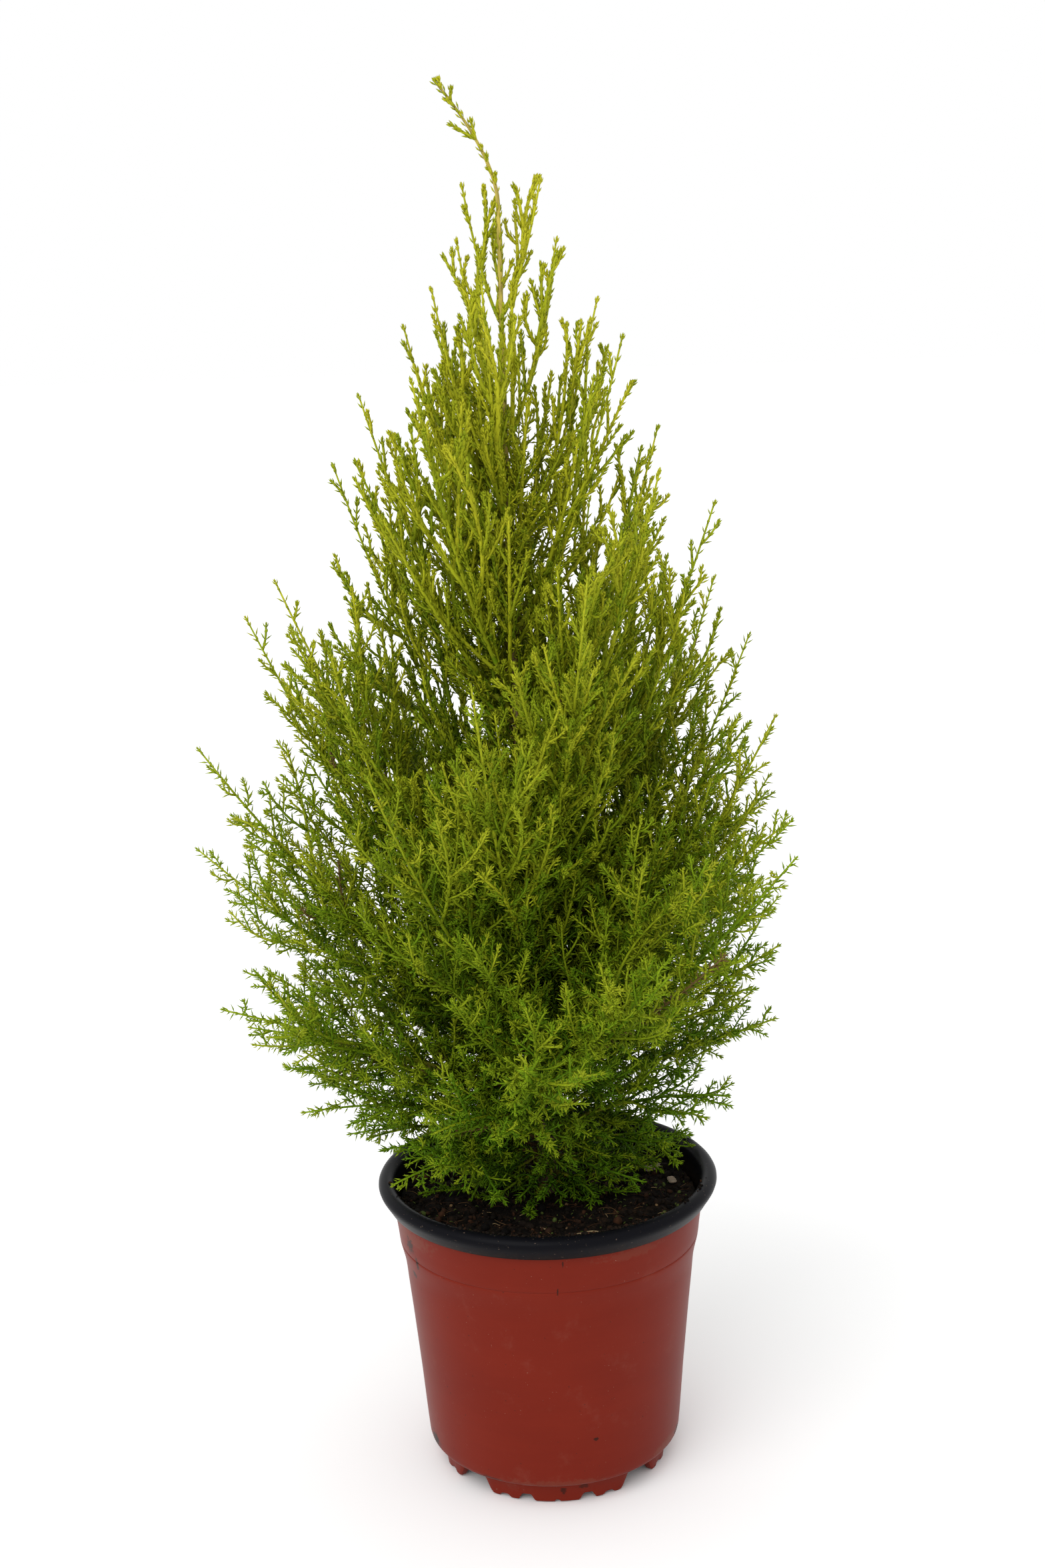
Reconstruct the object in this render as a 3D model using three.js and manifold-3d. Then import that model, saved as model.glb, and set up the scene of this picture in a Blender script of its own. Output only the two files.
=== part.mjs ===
// A young lemon cypress in its nursery pot. Millimetres, +Z up, the table at Z = 0, the front of
// the plant towards -Y. The origin lies on the table, under the middle of the outer box.

import * as THREE from 'three';
import { mergeVertices } from 'three/addons/utils/BufferGeometryUtils.js';
import Module from 'manifold-3d';

const wasm = await Module();
wasm.setup();

// ---------------------------------------------------------------------------------------------
// Driving sizes
// ---------------------------------------------------------------------------------------------

const GAP = 0.3; // clear space between two pieces that touch

const POT = {
  height: 124, // table to the crest of the lip
  lipRadius: 70,
  lipWidth: 6.6, // across the rolled top of the lip
  lipDepth: 9.5, // crest to the lower edge of the lip
  lipTuck: 3.6, // how far the lip's lower edge lies inside its widest point
  collarDepth: 16.5, // lower edge of the lip to the seam
  collarFlare: 2.4, // how much wider the collar is at the lip than at the seam
  seamStep: 0.5, // the wall steps in this far under the seam
  baseRadius: 52.8, // outer radius where the wall rounds in to the foot
  wallHollow: 0.7, // how far the wall lies inside a straight taper at mid height
  sheet: 1.2, // thickness of the formed sheet
  facets: 40,
};

const FOOT = {
  radius: 47.6, // outer radius of the foot ring on the table
  flare: 1, // how much wider the ring is where it meets the base
  width: 3,
  height: 8, // table to the underside of the base
  ledge: 2.8, // height of the rounding between the foot ring and the wall
  drainRadius: 4,
  drainCircle: 28, // radius of the circle on which the outer drain holes lie
  drains: 6,
};

// One quarter of the foot ring's scalloped edge: middle and width in degrees, and depth.
const NOTCHES = [
  { middle: 0, width: 2, depth: 0.8 },
  { middle: 15.2, width: 6.5, depth: 2.8 },
  { middle: 26.5, width: 5, depth: 1.3 },
  { middle: 45, width: 18, depth: 7.2 },
  { middle: 63.5, width: 5, depth: 1.3 },
  { middle: 74.8, width: 6.5, depth: 2.8 },
];

const SOIL = {
  below: 12, // crest of the lip down to the soil at the wall
  dome: 3, // how much higher the soil is round the trunk
};

const TRUNK = {
  footRadius: 4.2,
  tipRadius: 1.3,
  taper: 0.6, // power of the height by which it thins: under 1, most near the foot
  rooted: 28, // length below the soil
  sides: 8,
  rings: 24,
};

const CROWN = {
  height: 430, // crest of the lip to the tip of the leader
  spread: 120, // trunk to the widest shoots, on average
  lean: -8, // how far the trunk's upper half stands to the left of the pot's axis
  leanUntil: 0.6, // share of the height at which the trunk has reached its lean
  nod: 22, // how far the tip of the leader hangs over to the left
  nodFrom: 0.9, // share of the height from which it bends over
  nodCurl: 1.6, // how much of the bend is at its very tip, as a power
  rise: 0.34, // steepest climb of a branch, as a share of the crown's height
  riseLow: 1.3, // how much more gently the low branches climb, as a power of their height
  lowest: 3.5, // least height of a branch's start over the lip
};

// How far the middle of a branch stands over the straight line to its tip, as a share of its
// length: low branches arch and high ones sweep up.
const ARCH = { atLip: 0.1, perHeight: -0.45, least: -0.13, most: 0.07 };

const SHOOT = {
  stem: 0.9, // radius of a bare stem
  plume: 6.5, // radius of a leafy shoot where it has room
  least: 0.55, // a shoot ends where its neighbours leave it less radius than this
  bareShare: 0.15, // share of a branch next to the trunk that is bare
  rings: 7,
  shortLength: 70, // a branch under this length is short
  shortRings: 5,
};

// The shoots at the sides of each branch.
const SIDE = {
  most: 4,
  pitch: 32, // length of branch to each side shoot
  first: 0.3, // share of the branch at which the first one leaves it
  last: 0.68,
  divergence: 0.66, // radians between a side shoot and its branch
  lift: 0.1, // how far it also heads upwards, as a share of its heading
  length: 0.68, // length as a share of the branch beyond it
  extra: 0.06, // length added to each, as a share of the whole branch
  plume: 0.8, // fullness as a share of the branch's own
  rings: 4,
  leastRings: 3, // a shoot cut off by its neighbours before this ring isn't grown
};

// Crumbs on the soil: place as a share of the soil's radius and a turn from +X in degrees.
const CHIPS = [
  { place: 0.8, turn: 24, length: 9, width: 5, thickness: 1.6, twist: 35 },
  { place: 0.85, turn: 8, length: 6, width: 3.5, thickness: 1.2, twist: 100 },
];

const STRAWS = [
  { place: 0.71, turn: -70, length: 9, width: 0.9, thickness: 0.7, twist: 10 },
  { place: 0.8, turn: -118, length: 7, width: 0.8, thickness: 0.7, twist: 75 },
  { place: 0.61, turn: -92, length: 6, width: 0.8, thickness: 0.6, twist: 140 },
];

// The crown's outermost shoots, left and right: sideways reach as a share of the spread, and the
// height of the tip as a share of the crown's height.
const SIDE_TIPS = [
  [-0.68, 0.037], [-0.83, 0.084], [-1.02, 0.14], [-1.08, 0.198], [-1.19, 0.312],
  [-1.1, 0.426], [-0.99, 0.533], [-0.82, 0.577], [-0.67, 0.674], [-0.53, 0.737],
  [-0.38, 0.795], [-0.29, 0.826], [-0.18, 0.914],
  [0.5, 0.025], [0.63, 0.084], [0.76, 0.128], [0.81, 0.237], [0.81, 0.372],
  [0.79, 0.44], [0.76, 0.505], [0.6, 0.635], [0.46, 0.7], [0.32, 0.781],
  [0.24, 0.814], [0.12, 0.865], [0.07, 0.916],
];

// Least and greatest turn of those shoots towards the front or back, in radians.
const SIDE_TURN = { least: 0.05, most: 0.33 };

// The front and back of the crown: reach as a share of the spread at shares of the height.
const OUTLINE = [[0, 0.5], [0.14, 0.88], [0.31, 1], [0.5, 0.88], [0.74, 0.46], [0.95, 0.08]];
const FRONT_AND_BACK = { count: 22, lowest: 0.03, highest: 0.87, fan: 110, uneven: 0.2 };

const COLOUR = {
  terracotta: 0x8a2f20,
  peat: 0x1d130d,
  bark: 0x9a7a48,
  lowFoliage: 0x6f8a22,
  highFoliage: 0xa4ae2f,
  chip: 0xb9ad9a,
  straw: 0xc2a265,
};

// ---------------------------------------------------------------------------------------------
// Solids
// ---------------------------------------------------------------------------------------------

function solidOf(geometry) {
  const bare = geometry.clone();
  bare.deleteAttribute('normal');
  bare.deleteAttribute('uv');
  const merged = mergeVertices(bare, 1e-4);
  return new wasm.Manifold(new wasm.Mesh({
    numProp: 3,
    vertProperties: merged.attributes.position.array,
    triVerts: new Uint32Array(merged.index.array),
  }));
}

function geometryOf(solid) {
  const { vertProperties, triVerts } = solid.getMesh();
  const geometry = new THREE.BufferGeometry();
  geometry.setAttribute('position', new THREE.BufferAttribute(vertProperties, 3));
  geometry.setIndex(new THREE.BufferAttribute(triVerts, 1));
  geometry.computeVertexNormals();
  return geometry;
}

function named(name, geometry, color, roughness) {
  const material = new THREE.MeshStandardMaterial({ color, roughness, metalness: 0 });
  const mesh = new THREE.Mesh(geometry, material);
  mesh.name = name;
  return mesh;
}

/** A profile of [radius, height] pairs turned about the Z axis. */
function turned(profile) {
  const points = profile.map(([radius, height]) => new THREE.Vector2(radius, height));
  return new THREE.LatheGeometry(points, POT.facets).rotateX(Math.PI / 2);
}

/** A closed tube through points, ending in a point, with one radius for each ring. */
function taperedTube(points, radii, sides) {
  const path = new THREE.CatmullRomCurve3(points);
  const { normals, binormals } = path.computeFrenetFrames(points.length - 1);
  const positions = [points[0]];
  for (let ring = 0; ring < points.length - 1; ring++) {
    for (let side = 0; side < sides; side++) {
      const angle = (side / sides) * 2 * Math.PI;
      positions.push(points[ring].clone()
        .addScaledVector(normals[ring], radii[ring] * Math.cos(angle))
        .addScaledVector(binormals[ring], radii[ring] * Math.sin(angle)));
    }
  }
  positions.push(points.at(-1));
  const index = [];
  const last = positions.length - 1;
  for (let side = 0; side < sides; side++) {
    const next = (side + 1) % sides;
    index.push(0, 1 + next, 1 + side);
    for (let ring = 0; ring < points.length - 2; ring++) {
      const low = 1 + ring * sides;
      const high = low + sides;
      index.push(low + side, low + next, high + next, low + side, high + next, high + side);
    }
    index.push(last - sides + side, last - sides + next, last);
  }
  const geometry = new THREE.BufferGeometry().setFromPoints(positions);
  geometry.setIndex(index);
  return geometry;
}

// ---------------------------------------------------------------------------------------------
// Pot and soil
// ---------------------------------------------------------------------------------------------

const lipLow = POT.height - POT.lipDepth;
const seamHeight = lipLow - POT.collarDepth;
const collarTop = POT.lipRadius - POT.lipWidth + POT.sheet / 2;
const collarFoot = collarTop - POT.collarFlare;
const wallFoot = FOOT.height + FOOT.ledge;
const floorHeight = FOOT.height + POT.sheet;

/** Outer radius of the wall between the foot and the seam. */
function wallRadius(height) {
  const share = (height - wallFoot) / (seamHeight - wallFoot);
  const straight = THREE.MathUtils.lerp(POT.baseRadius, collarFoot - POT.seamStep, share);
  return straight - POT.wallHollow * Math.sin(Math.PI * share);
}

/** The inside of the pot from the floor to a height near the lip, drawn in by an inset. */
function innerWall(inset, top) {
  const wall = [0, 0.35, 0.7, 1].map((step) => {
    const height = THREE.MathUtils.lerp(wallFoot, seamHeight, step);
    return [wallRadius(height) - POT.sheet - inset, height];
  });
  const share = (top - seamHeight) / (lipLow - seamHeight);
  const collar = THREE.MathUtils.lerp(collarFoot, collarTop, share) - POT.sheet - inset;
  return [...wall, [collar, top]];
}

/** The lip's rolled top, from its widest point over the crest to the inside. */
function lipRoll() {
  const half = POT.lipWidth / 2;
  const steps = 6;
  return Array.from({ length: steps + 1 }, (_, step) => {
    const angle = (step / steps) * Math.PI;
    return [POT.lipRadius - half + half * Math.cos(angle), POT.height - half + half * Math.sin(angle)];
  });
}

function potShell() {
  const middle = (wallFoot + seamHeight) / 2;
  const outside = [
    [FOOT.radius, 0],
    [FOOT.radius + FOOT.flare, FOOT.height],
    [POT.baseRadius - FOOT.ledge / 2, FOOT.height + FOOT.ledge / 5],
    [POT.baseRadius, wallFoot],
    [wallRadius(middle), middle],
    [wallRadius(seamHeight), seamHeight],
    [collarFoot, seamHeight + POT.seamStep],
    [collarTop, lipLow],
    [POT.lipRadius - POT.lipTuck, lipLow],
  ];
  const inside = innerWall(0, lipLow).reverse();
  const base = [
    [POT.baseRadius - FOOT.ledge - POT.sheet, floorHeight],
    [0, floorHeight],
    [0, FOOT.height],
    [FOOT.radius - FOOT.width, FOOT.height],
    [FOOT.radius - FOOT.width, 0],
    [FOOT.radius, 0],
  ];
  return turned([...outside, ...lipRoll(), ...inside, ...base]);
}

/** A scallop through the foot ring, an elliptic arch that opens on the table. */
function notchCutter({ middle, width, depth }, quarter) {
  const angle = THREE.MathUtils.degToRad(middle + quarter * 90) - Math.PI / 2;
  const halfWidth = THREE.MathUtils.degToRad(width / 2) * FOOT.radius;
  const cutter = new THREE.CylinderGeometry(1, 1, 4 * FOOT.width, 10);
  cutter.scale(halfWidth, 1, depth);
  cutter.rotateZ(-Math.PI / 2);
  cutter.translate(FOOT.radius - FOOT.width / 2, 0, 0);
  return cutter.rotateZ(angle);
}

function drainCutters() {
  const hole = () => new THREE.CylinderGeometry(FOOT.drainRadius, FOOT.drainRadius, 4 * POT.sheet, 10)
    .rotateX(Math.PI / 2)
    .translate(0, 0, FOOT.height + POT.sheet / 2);
  const ring = Array.from({ length: FOOT.drains }, (_, place) => (
    hole().translate(FOOT.drainCircle, 0, 0).rotateZ((place / FOOT.drains) * 2 * Math.PI)));
  return [hole(), ...ring];
}

function makePot() {
  const scallops = [0, 1, 2, 3].flatMap((quarter) => (
    NOTCHES.map((notch) => notchCutter(notch, quarter))));
  const solid = [...scallops, ...drainCutters()].reduce(
    (shell, cutter) => shell.subtract(solidOf(cutter)), solidOf(potShell()));
  return named('pot', geometryOf(solid), COLOUR.terracotta, 0.55);
}

const soilEdge = POT.height - SOIL.below;

/** Height of the soil at a distance from the pot's axis. */
function soilHeight(reach) {
  return soilEdge + SOIL.dome * (1 - reach / POT.lipRadius);
}

function makeSoil() {
  const socket = TRUNK.footRadius + GAP;
  const socketFloor = soilHeight(0) - TRUNK.rooted - GAP;
  const wall = innerWall(GAP, soilEdge);
  const profile = [
    [0, floorHeight + GAP],
    [wall[0][0] - FOOT.ledge, floorHeight + GAP],
    ...wall,
    [socket, soilHeight(socket)],
    [socket, socketFloor],
    [0, socketFloor],
  ];
  return named('soil', turned(profile), COLOUR.peat, 1);
}

/** A flat crumb lying on the soil. */
function makeCrumb(name, { place, turn, length, width, thickness, twist }, colour) {
  const geometry = new THREE.BoxGeometry(length, width, thickness)
    .rotateZ(THREE.MathUtils.degToRad(twist));
  const crumb = named(name, geometry, colour, 0.9);
  const [soilRadius] = innerWall(GAP, soilEdge).at(-1);
  const reach = place * soilRadius;
  const angle = THREE.MathUtils.degToRad(turn);
  const height = soilHeight(reach - length / 2) + GAP + thickness / 2;
  crumb.position.set(reach * Math.cos(angle), reach * Math.sin(angle), height);
  return crumb;
}

// ---------------------------------------------------------------------------------------------
// Trunk
// ---------------------------------------------------------------------------------------------

/** Sideways place of the leader at a share of the crown's height, bent over at its tip. */
function leaderSway(share) {
  const upright = CROWN.lean * THREE.MathUtils.smoothstep(share, 0, CROWN.leanUntil);
  const bent = Math.max(0, (share - CROWN.nodFrom) / (1 - CROWN.nodFrom));
  return upright - CROWN.nod * bent ** CROWN.nodCurl;
}

function trunkPoint(height) {
  const share = Math.max(0, (height - POT.height) / CROWN.height);
  return new THREE.Vector3(leaderSway(share), 0, height);
}

/** Radius of the trunk at a height. */
function trunkRadius(height) {
  const share = THREE.MathUtils.clamp((height - POT.height) / CROWN.height, 0, 1);
  return THREE.MathUtils.lerp(TRUNK.footRadius, TRUNK.tipRadius, share ** TRUNK.taper);
}

const trunkFoot = soilHeight(0) - TRUNK.rooted;
const trunkLine = Array.from({ length: TRUNK.rings + 1 }, (_, ring) => (
  trunkPoint(THREE.MathUtils.lerp(trunkFoot, POT.height + CROWN.height, ring / TRUNK.rings))));

function makeTrunk() {
  const radii = trunkLine.map((point) => trunkRadius(point.z));
  return named('trunk', taperedTube(trunkLine, radii, TRUNK.sides), COLOUR.bark, 0.8);
}

// ---------------------------------------------------------------------------------------------
// Branches
// ---------------------------------------------------------------------------------------------

/** A share from 0 to 1 for each number, spread evenly and in no visible order. */
function scatter(number) {
  return (number * 0.6180339887) % 1;
}

function outlineReach(share) {
  const after = Math.max(1, OUTLINE.findIndex(([height]) => height >= share));
  const [lowHeight, lowReach] = OUTLINE[after - 1];
  const [highHeight, highReach] = OUTLINE[after];
  return THREE.MathUtils.mapLinear(share, lowHeight, highHeight, lowReach, highReach);
}

/** The tips of all branches: reach and height in millimetres, and direction in radians. */
function branchTips() {
  const sides = SIDE_TIPS.map(([reach, height], number) => ({
    reach: Math.abs(reach) * CROWN.spread,
    height: height * CROWN.height,
    turn: (reach < 0 ? Math.PI : 0)
      + (number % 2 ? 1 : -1) * THREE.MathUtils.lerp(SIDE_TURN.least, SIDE_TURN.most, scatter(number)),
  }));
  const { count, lowest, highest, fan, uneven } = FRONT_AND_BACK;
  const others = Array.from({ length: count }, (_, number) => {
    const height = THREE.MathUtils.lerp(lowest, highest, number / (count - 1));
    const front = number % 2 ? 90 : -90;
    return {
      reach: outlineReach(height) * CROWN.spread * (1 + uneven * (scatter(number + 3) - 0.5)),
      height: height * CROWN.height,
      turn: THREE.MathUtils.degToRad(front + fan * (scatter(number) - 0.5)),
    };
  });
  return [...sides, ...others].sort((one, other) => one.height - other.height);
}

/** The line of a branch from the trunk to its tip: it sweeps up high in the crown and arches low. */
function branchCurve({ reach, height, turn }) {
  const share = height / CROWN.height;
  const climb = CROWN.rise * CROWN.height * Math.sin(Math.PI * share ** CROWN.riseLow);
  const startHeight = POT.height + Math.max(CROWN.lowest, height - climb);
  const outwards = new THREE.Vector3(Math.cos(turn), Math.sin(turn), 0);
  const start = trunkPoint(startHeight);
  const tip = outwards.clone().multiplyScalar(reach).setZ(POT.height + height);
  tip.x += leaderSway(share) * (1 - Math.abs(Math.cos(turn)));
  const arch = THREE.MathUtils.clamp(ARCH.atLip + ARCH.perHeight * share, ARCH.least, ARCH.most);
  const middle = start.clone().lerp(tip, 0.5);
  middle.z += 2 * arch * start.distanceTo(tip);
  const tilt = Math.abs(middle.z - start.z) / middle.distanceTo(start);
  start.addScaledVector(outwards, trunkRadius(startHeight) + GAP + SHOOT.stem * tilt);
  return new THREE.QuadraticBezierCurve3(start, middle, tip);
}

/** The line of a side shoot, which leaves its branch sideways and turns to run beside it. */
function sideCurve(curve, share, side) {
  const along = curve.getTangentAt(share);
  const sideways = new THREE.Vector3(-along.y, along.x, 0).normalize().multiplyScalar(side);
  const upwards = new THREE.Vector3().crossVectors(along, sideways).multiplyScalar(side);
  const length = (SIDE.length * (1 - share) + SIDE.extra) * curve.getLength();
  const heading = along.clone().multiplyScalar(Math.cos(SIDE.divergence))
    .addScaledVector(sideways, Math.sin(SIDE.divergence))
    .addScaledVector(upwards, SIDE.lift);
  const start = curve.getPointAt(share);
  const middle = start.clone().addScaledVector(heading, length / 2);
  const tip = middle.clone().addScaledVector(heading, length / 4).addScaledVector(along, length / 4);
  return new THREE.QuadraticBezierCurve3(start, middle, tip);
}

/** Radius that a leafy shoot would have at a share of its length with nothing beside it. */
function plumeRadius(share, bare, fullness) {
  const leafy = Math.max(0, (share - bare) / (1 - bare));
  return SHOOT.stem + (fullness - SHOOT.stem) * Math.sin(Math.PI * leafy ** 0.8);
}

/** Least distance between two segments, found by turns along the one and the other. */
function segmentDistance([a, b], [c, d]) {
  const one = new THREE.Line3(a, b);
  const other = new THREE.Line3(c, d);
  const onOther = new THREE.Vector3();
  const onOne = a.clone().lerp(b, 0.5);
  let distance = Infinity;
  for (let turn = 0; turn < 12; turn++) {
    other.closestPointToPoint(onOne, true, onOther);
    one.closestPointToPoint(onOther, true, onOne);
    const now = onOne.distanceTo(onOther);
    if (distance - now < 1e-4) return now;
    distance = now;
  }
  return distance;
}

const segments = (points) => points.slice(1).map((point, number) => [points[number], point]);

/** Radius left for a segment: half way to each neighbour, and clear of the lip and the trunk. */
function room(segment, neighbours) {
  let radius = Math.min(segment[0].z, segment[1].z) - POT.height - GAP;
  for (const other of neighbours) {
    radius = Math.min(radius, (segmentDistance(segment, other) - GAP) / 2);
  }
  const [, outer] = segment;
  for (const piece of segments(trunkLine)) {
    const clear = trunkRadius(piece[0].z) + GAP;
    radius = Math.min(radius, segmentDistance([outer, outer], piece) - clear);
  }
  return radius;
}

/** Cuts a shoot off where its neighbours leave it no room. */
function grown(points, neighbours) {
  const blocked = segments(points).findIndex((piece) => room(piece, neighbours) < SHOOT.least);
  return blocked < 0 ? points : points.slice(0, blocked + 1);
}

/** The rings' radii of a shoot: what it wants, or what it has room for. */
function fittedRadii({ points, bare, fullness }, neighbours) {
  const rooms = segments(points).map((piece) => room(piece, neighbours));
  return points.map((_, ring) => Math.min(
    plumeRadius(ring / (points.length - 1), bare, fullness),
    rooms[Math.max(0, ring - 1)],
    rooms[Math.min(rooms.length - 1, ring)],
  ));
}

function growBranches() {
  const branches = branchTips().map((tip) => ({ tip, curve: branchCurve(tip), shoots: [] }));
  const others = (branch) => branches.filter((one) => one !== branch)
    .flatMap(({ shoots }) => shoots.flatMap(({ points }) => segments(points)));
  for (const branch of branches) {
    const long = branch.curve.getLength() > SHOOT.shortLength;
    const line = branch.curve.getSpacedPoints(long ? SHOOT.rings : SHOOT.shortRings);
    const points = grown(line, others(branch));
    branch.shoots.push({ points, bare: SHOOT.bareShare, fullness: SHOOT.plume, sides: 5 });
  }
  for (let place = 0; place < SIDE.most; place++) {
    const share = THREE.MathUtils.lerp(SIDE.first, SIDE.last, place / (SIDE.most - 1));
    for (const branch of branches) {
      if (place >= Math.round(branch.curve.getLength() / SIDE.pitch)) continue;
      const line = sideCurve(branch.curve, share, place % 2 ? 1 : -1).getSpacedPoints(SIDE.rings);
      const points = grown(line, others(branch));
      if (points.length <= SIDE.leastRings) continue;
      branch.shoots.push({ points, bare: 0, fullness: SIDE.plume * SHOOT.plume, sides: 4 });
    }
  }
  return branches.map((branch) => ({ ...branch, neighbours: others(branch) }));
}

function makeBranch({ tip, shoots, neighbours }, number) {
  const tubes = shoots.map((shoot) => (
    solidOf(taperedTube(shoot.points, fittedRadii(shoot, neighbours), shoot.sides))));
  const solid = tubes.reduce((joined, tube) => joined.add(tube));
  const colour = new THREE.Color(COLOUR.lowFoliage)
    .lerp(new THREE.Color(COLOUR.highFoliage), tip.height / CROWN.height);
  return named(`branch_${String(number + 1).padStart(2, '0')}`, geometryOf(solid), colour, 0.6);
}

// ---------------------------------------------------------------------------------------------
// The whole plant, moved so that the middle of its outer box stands over the origin
// ---------------------------------------------------------------------------------------------

const plant = new THREE.Group();
plant.add(makePot(), makeSoil(), makeTrunk());
plant.add(...growBranches().map(makeBranch));
plant.add(...CHIPS.map((chip, number) => makeCrumb(`wood_chip_${number + 1}`, chip, COLOUR.chip)));
plant.add(...STRAWS.map((straw, number) => makeCrumb(`straw_${number + 1}`, straw, COLOUR.straw)));

const middle = new THREE.Box3().setFromObject(plant).getCenter(new THREE.Vector3());
plant.position.set(-middle.x, -middle.y, 0);

export default plant;
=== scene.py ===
"""The looks of the potted lemon cypress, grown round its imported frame.

Metres, +Z up, the table at Z = 0, the front of the plant towards -Y.
"""

import math
from collections import namedtuple

import bmesh
import bpy
import numpy as np
from mathutils import Euler, Matrix, Vector, geometry, noise


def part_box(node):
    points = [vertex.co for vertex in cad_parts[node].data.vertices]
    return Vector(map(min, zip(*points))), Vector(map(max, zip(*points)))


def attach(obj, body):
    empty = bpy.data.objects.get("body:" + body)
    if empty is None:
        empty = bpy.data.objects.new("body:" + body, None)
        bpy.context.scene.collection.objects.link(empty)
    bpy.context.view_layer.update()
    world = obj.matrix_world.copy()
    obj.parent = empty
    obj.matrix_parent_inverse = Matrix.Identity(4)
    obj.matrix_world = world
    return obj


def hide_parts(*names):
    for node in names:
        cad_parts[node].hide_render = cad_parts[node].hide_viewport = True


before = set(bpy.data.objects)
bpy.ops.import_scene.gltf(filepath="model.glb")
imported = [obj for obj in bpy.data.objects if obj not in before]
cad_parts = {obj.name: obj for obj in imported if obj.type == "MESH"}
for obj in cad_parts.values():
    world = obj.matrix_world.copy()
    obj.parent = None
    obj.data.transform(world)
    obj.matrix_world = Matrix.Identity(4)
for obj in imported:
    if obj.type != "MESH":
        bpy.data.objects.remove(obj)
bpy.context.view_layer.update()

MM = 0.001
BAKE_MAP = "OFBake"

# ---- The frame's own places ----

pot_low, pot_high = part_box("pot")
soil_low, soil_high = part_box("soil")
trunk_low, trunk_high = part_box("trunk")

AXIS = np.array([(pot_low.x + pot_high.x) / 2, (pot_low.y + pot_high.y) / 2, 0.0])
LIP_TOP = pot_high.z
LIP_RADIUS = (pot_high.x - pot_low.x) / 2
SOIL_RADIUS = (soil_high.x - soil_low.x) / 2
SOIL_TOP = soil_high.z
CROWN_HEIGHT = trunk_high.z - LIP_TOP
BRANCHES = sorted(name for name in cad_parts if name.startswith("branch"))

# ---- Growth of the crown, the same rules as the solids follow ----

SPREAD = 120 * MM
LEAN = -8 * MM
LEAN_UNTIL = 0.6
NOD = 22 * MM
NOD_FROM = 0.9
RISE = 0.34
LOWEST_START = 3.5 * MM
ARCH_AT_LIP, ARCH_PER_HEIGHT, ARCH_LEAST, ARCH_MOST = 0.1, -0.45, -0.13, 0.07
TRUNK_FOOT_RADIUS = 4.2 * MM
TRUNK_TIP_RADIUS = 0.8 * MM
STEM_RADIUS, STEM_LEAST, STEM_PER_METRE = 0.9 * MM, 0.6, 4.5
STEM_TIP_RADIUS, STEM_SEAT = 0.35 * MM, 0.7
GOLDEN = 0.6180339887

# Tips along the crown's two sides: reach as a share of the spread, negative to the left, and height as
# a share of the crown. Each turns out of that plane by a least angle and a chance one, in radians.
SIDE_TIPS = [
    (-0.68, 0.037), (-0.83, 0.084), (-1.02, 0.14), (-1.08, 0.198), (-1.19, 0.312),
    (-1.1, 0.426), (-0.99, 0.533), (-0.82, 0.577), (-0.67, 0.674), (-0.53, 0.737),
    (-0.38, 0.795), (-0.29, 0.826), (-0.18, 0.914),
    (0.5, 0.025), (0.63, 0.084), (0.76, 0.128), (0.81, 0.237), (0.81, 0.372),
    (0.79, 0.44), (0.76, 0.505), (0.6, 0.635), (0.46, 0.7), (0.32, 0.781),
    (0.24, 0.814), (0.12, 0.865), (0.07, 0.916),
]
SIDE_TURN, SIDE_TURN_CHANCE = 0.05, 0.28

# The crown's round outline, height and reach, and the branches that fill it at the front and back: how
# many, the lowest and highest, the fan in degrees, and how far they reach to the outline.
OUTLINE = [(0, 0.5), (0.14, 0.88), (0.31, 1), (0.5, 0.88), (0.74, 0.46), (0.95, 0.08)]
OTHERS, OTHERS_LOWEST, OTHERS_HIGHEST, OTHERS_FAN = 22, 0.03, 0.87, 110
OTHERS_REACH, OTHERS_REACH_CHANCE = 0.9, 0.2


def smooth(step):
    """Eases from 0 to 1 as the step does, and holds beyond them."""
    step = np.clip(step, 0, 1)
    return step * step * (3 - 2 * step)


def turns(count):
    """Angles evenly spaced round a circle."""
    return 2 * np.pi * np.arange(count) / count


def circle(angles, radius=1.0):
    """Level places on a circle, as pairs."""
    return np.stack([radius * np.cos(angles), radius * np.sin(angles)], axis=-1)


def leader_sway(share):
    """Sideways place of the leader at a share of the crown's height."""
    bent = np.maximum(0, (share - NOD_FROM) / (1 - NOD_FROM))
    return LEAN * smooth(share / LEAN_UNTIL) - NOD * bent**1.6


def trunk_point(height):
    """The middle of the trunk at a height, or at each of several."""
    height = np.asarray(height, float)
    share = np.maximum(0, (height - LIP_TOP) / CROWN_HEIGHT)
    point = np.zeros(height.shape + (3,))
    point[..., 0] = leader_sway(share)
    point[..., 2] = height
    return point + AXIS


def trunk_radius(height):
    """The trunk's radius as the branches find it at a height."""
    share = np.clip((np.asarray(height) - LIP_TOP) / CROWN_HEIGHT, 0, 1)
    return TRUNK_FOOT_RADIUS + (TRUNK_TIP_RADIUS - TRUNK_FOOT_RADIUS) * share**0.6


def scatter(number):
    """A steady share from 0 to 1 that looks like chance."""
    return (number * GOLDEN) % 1


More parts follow.
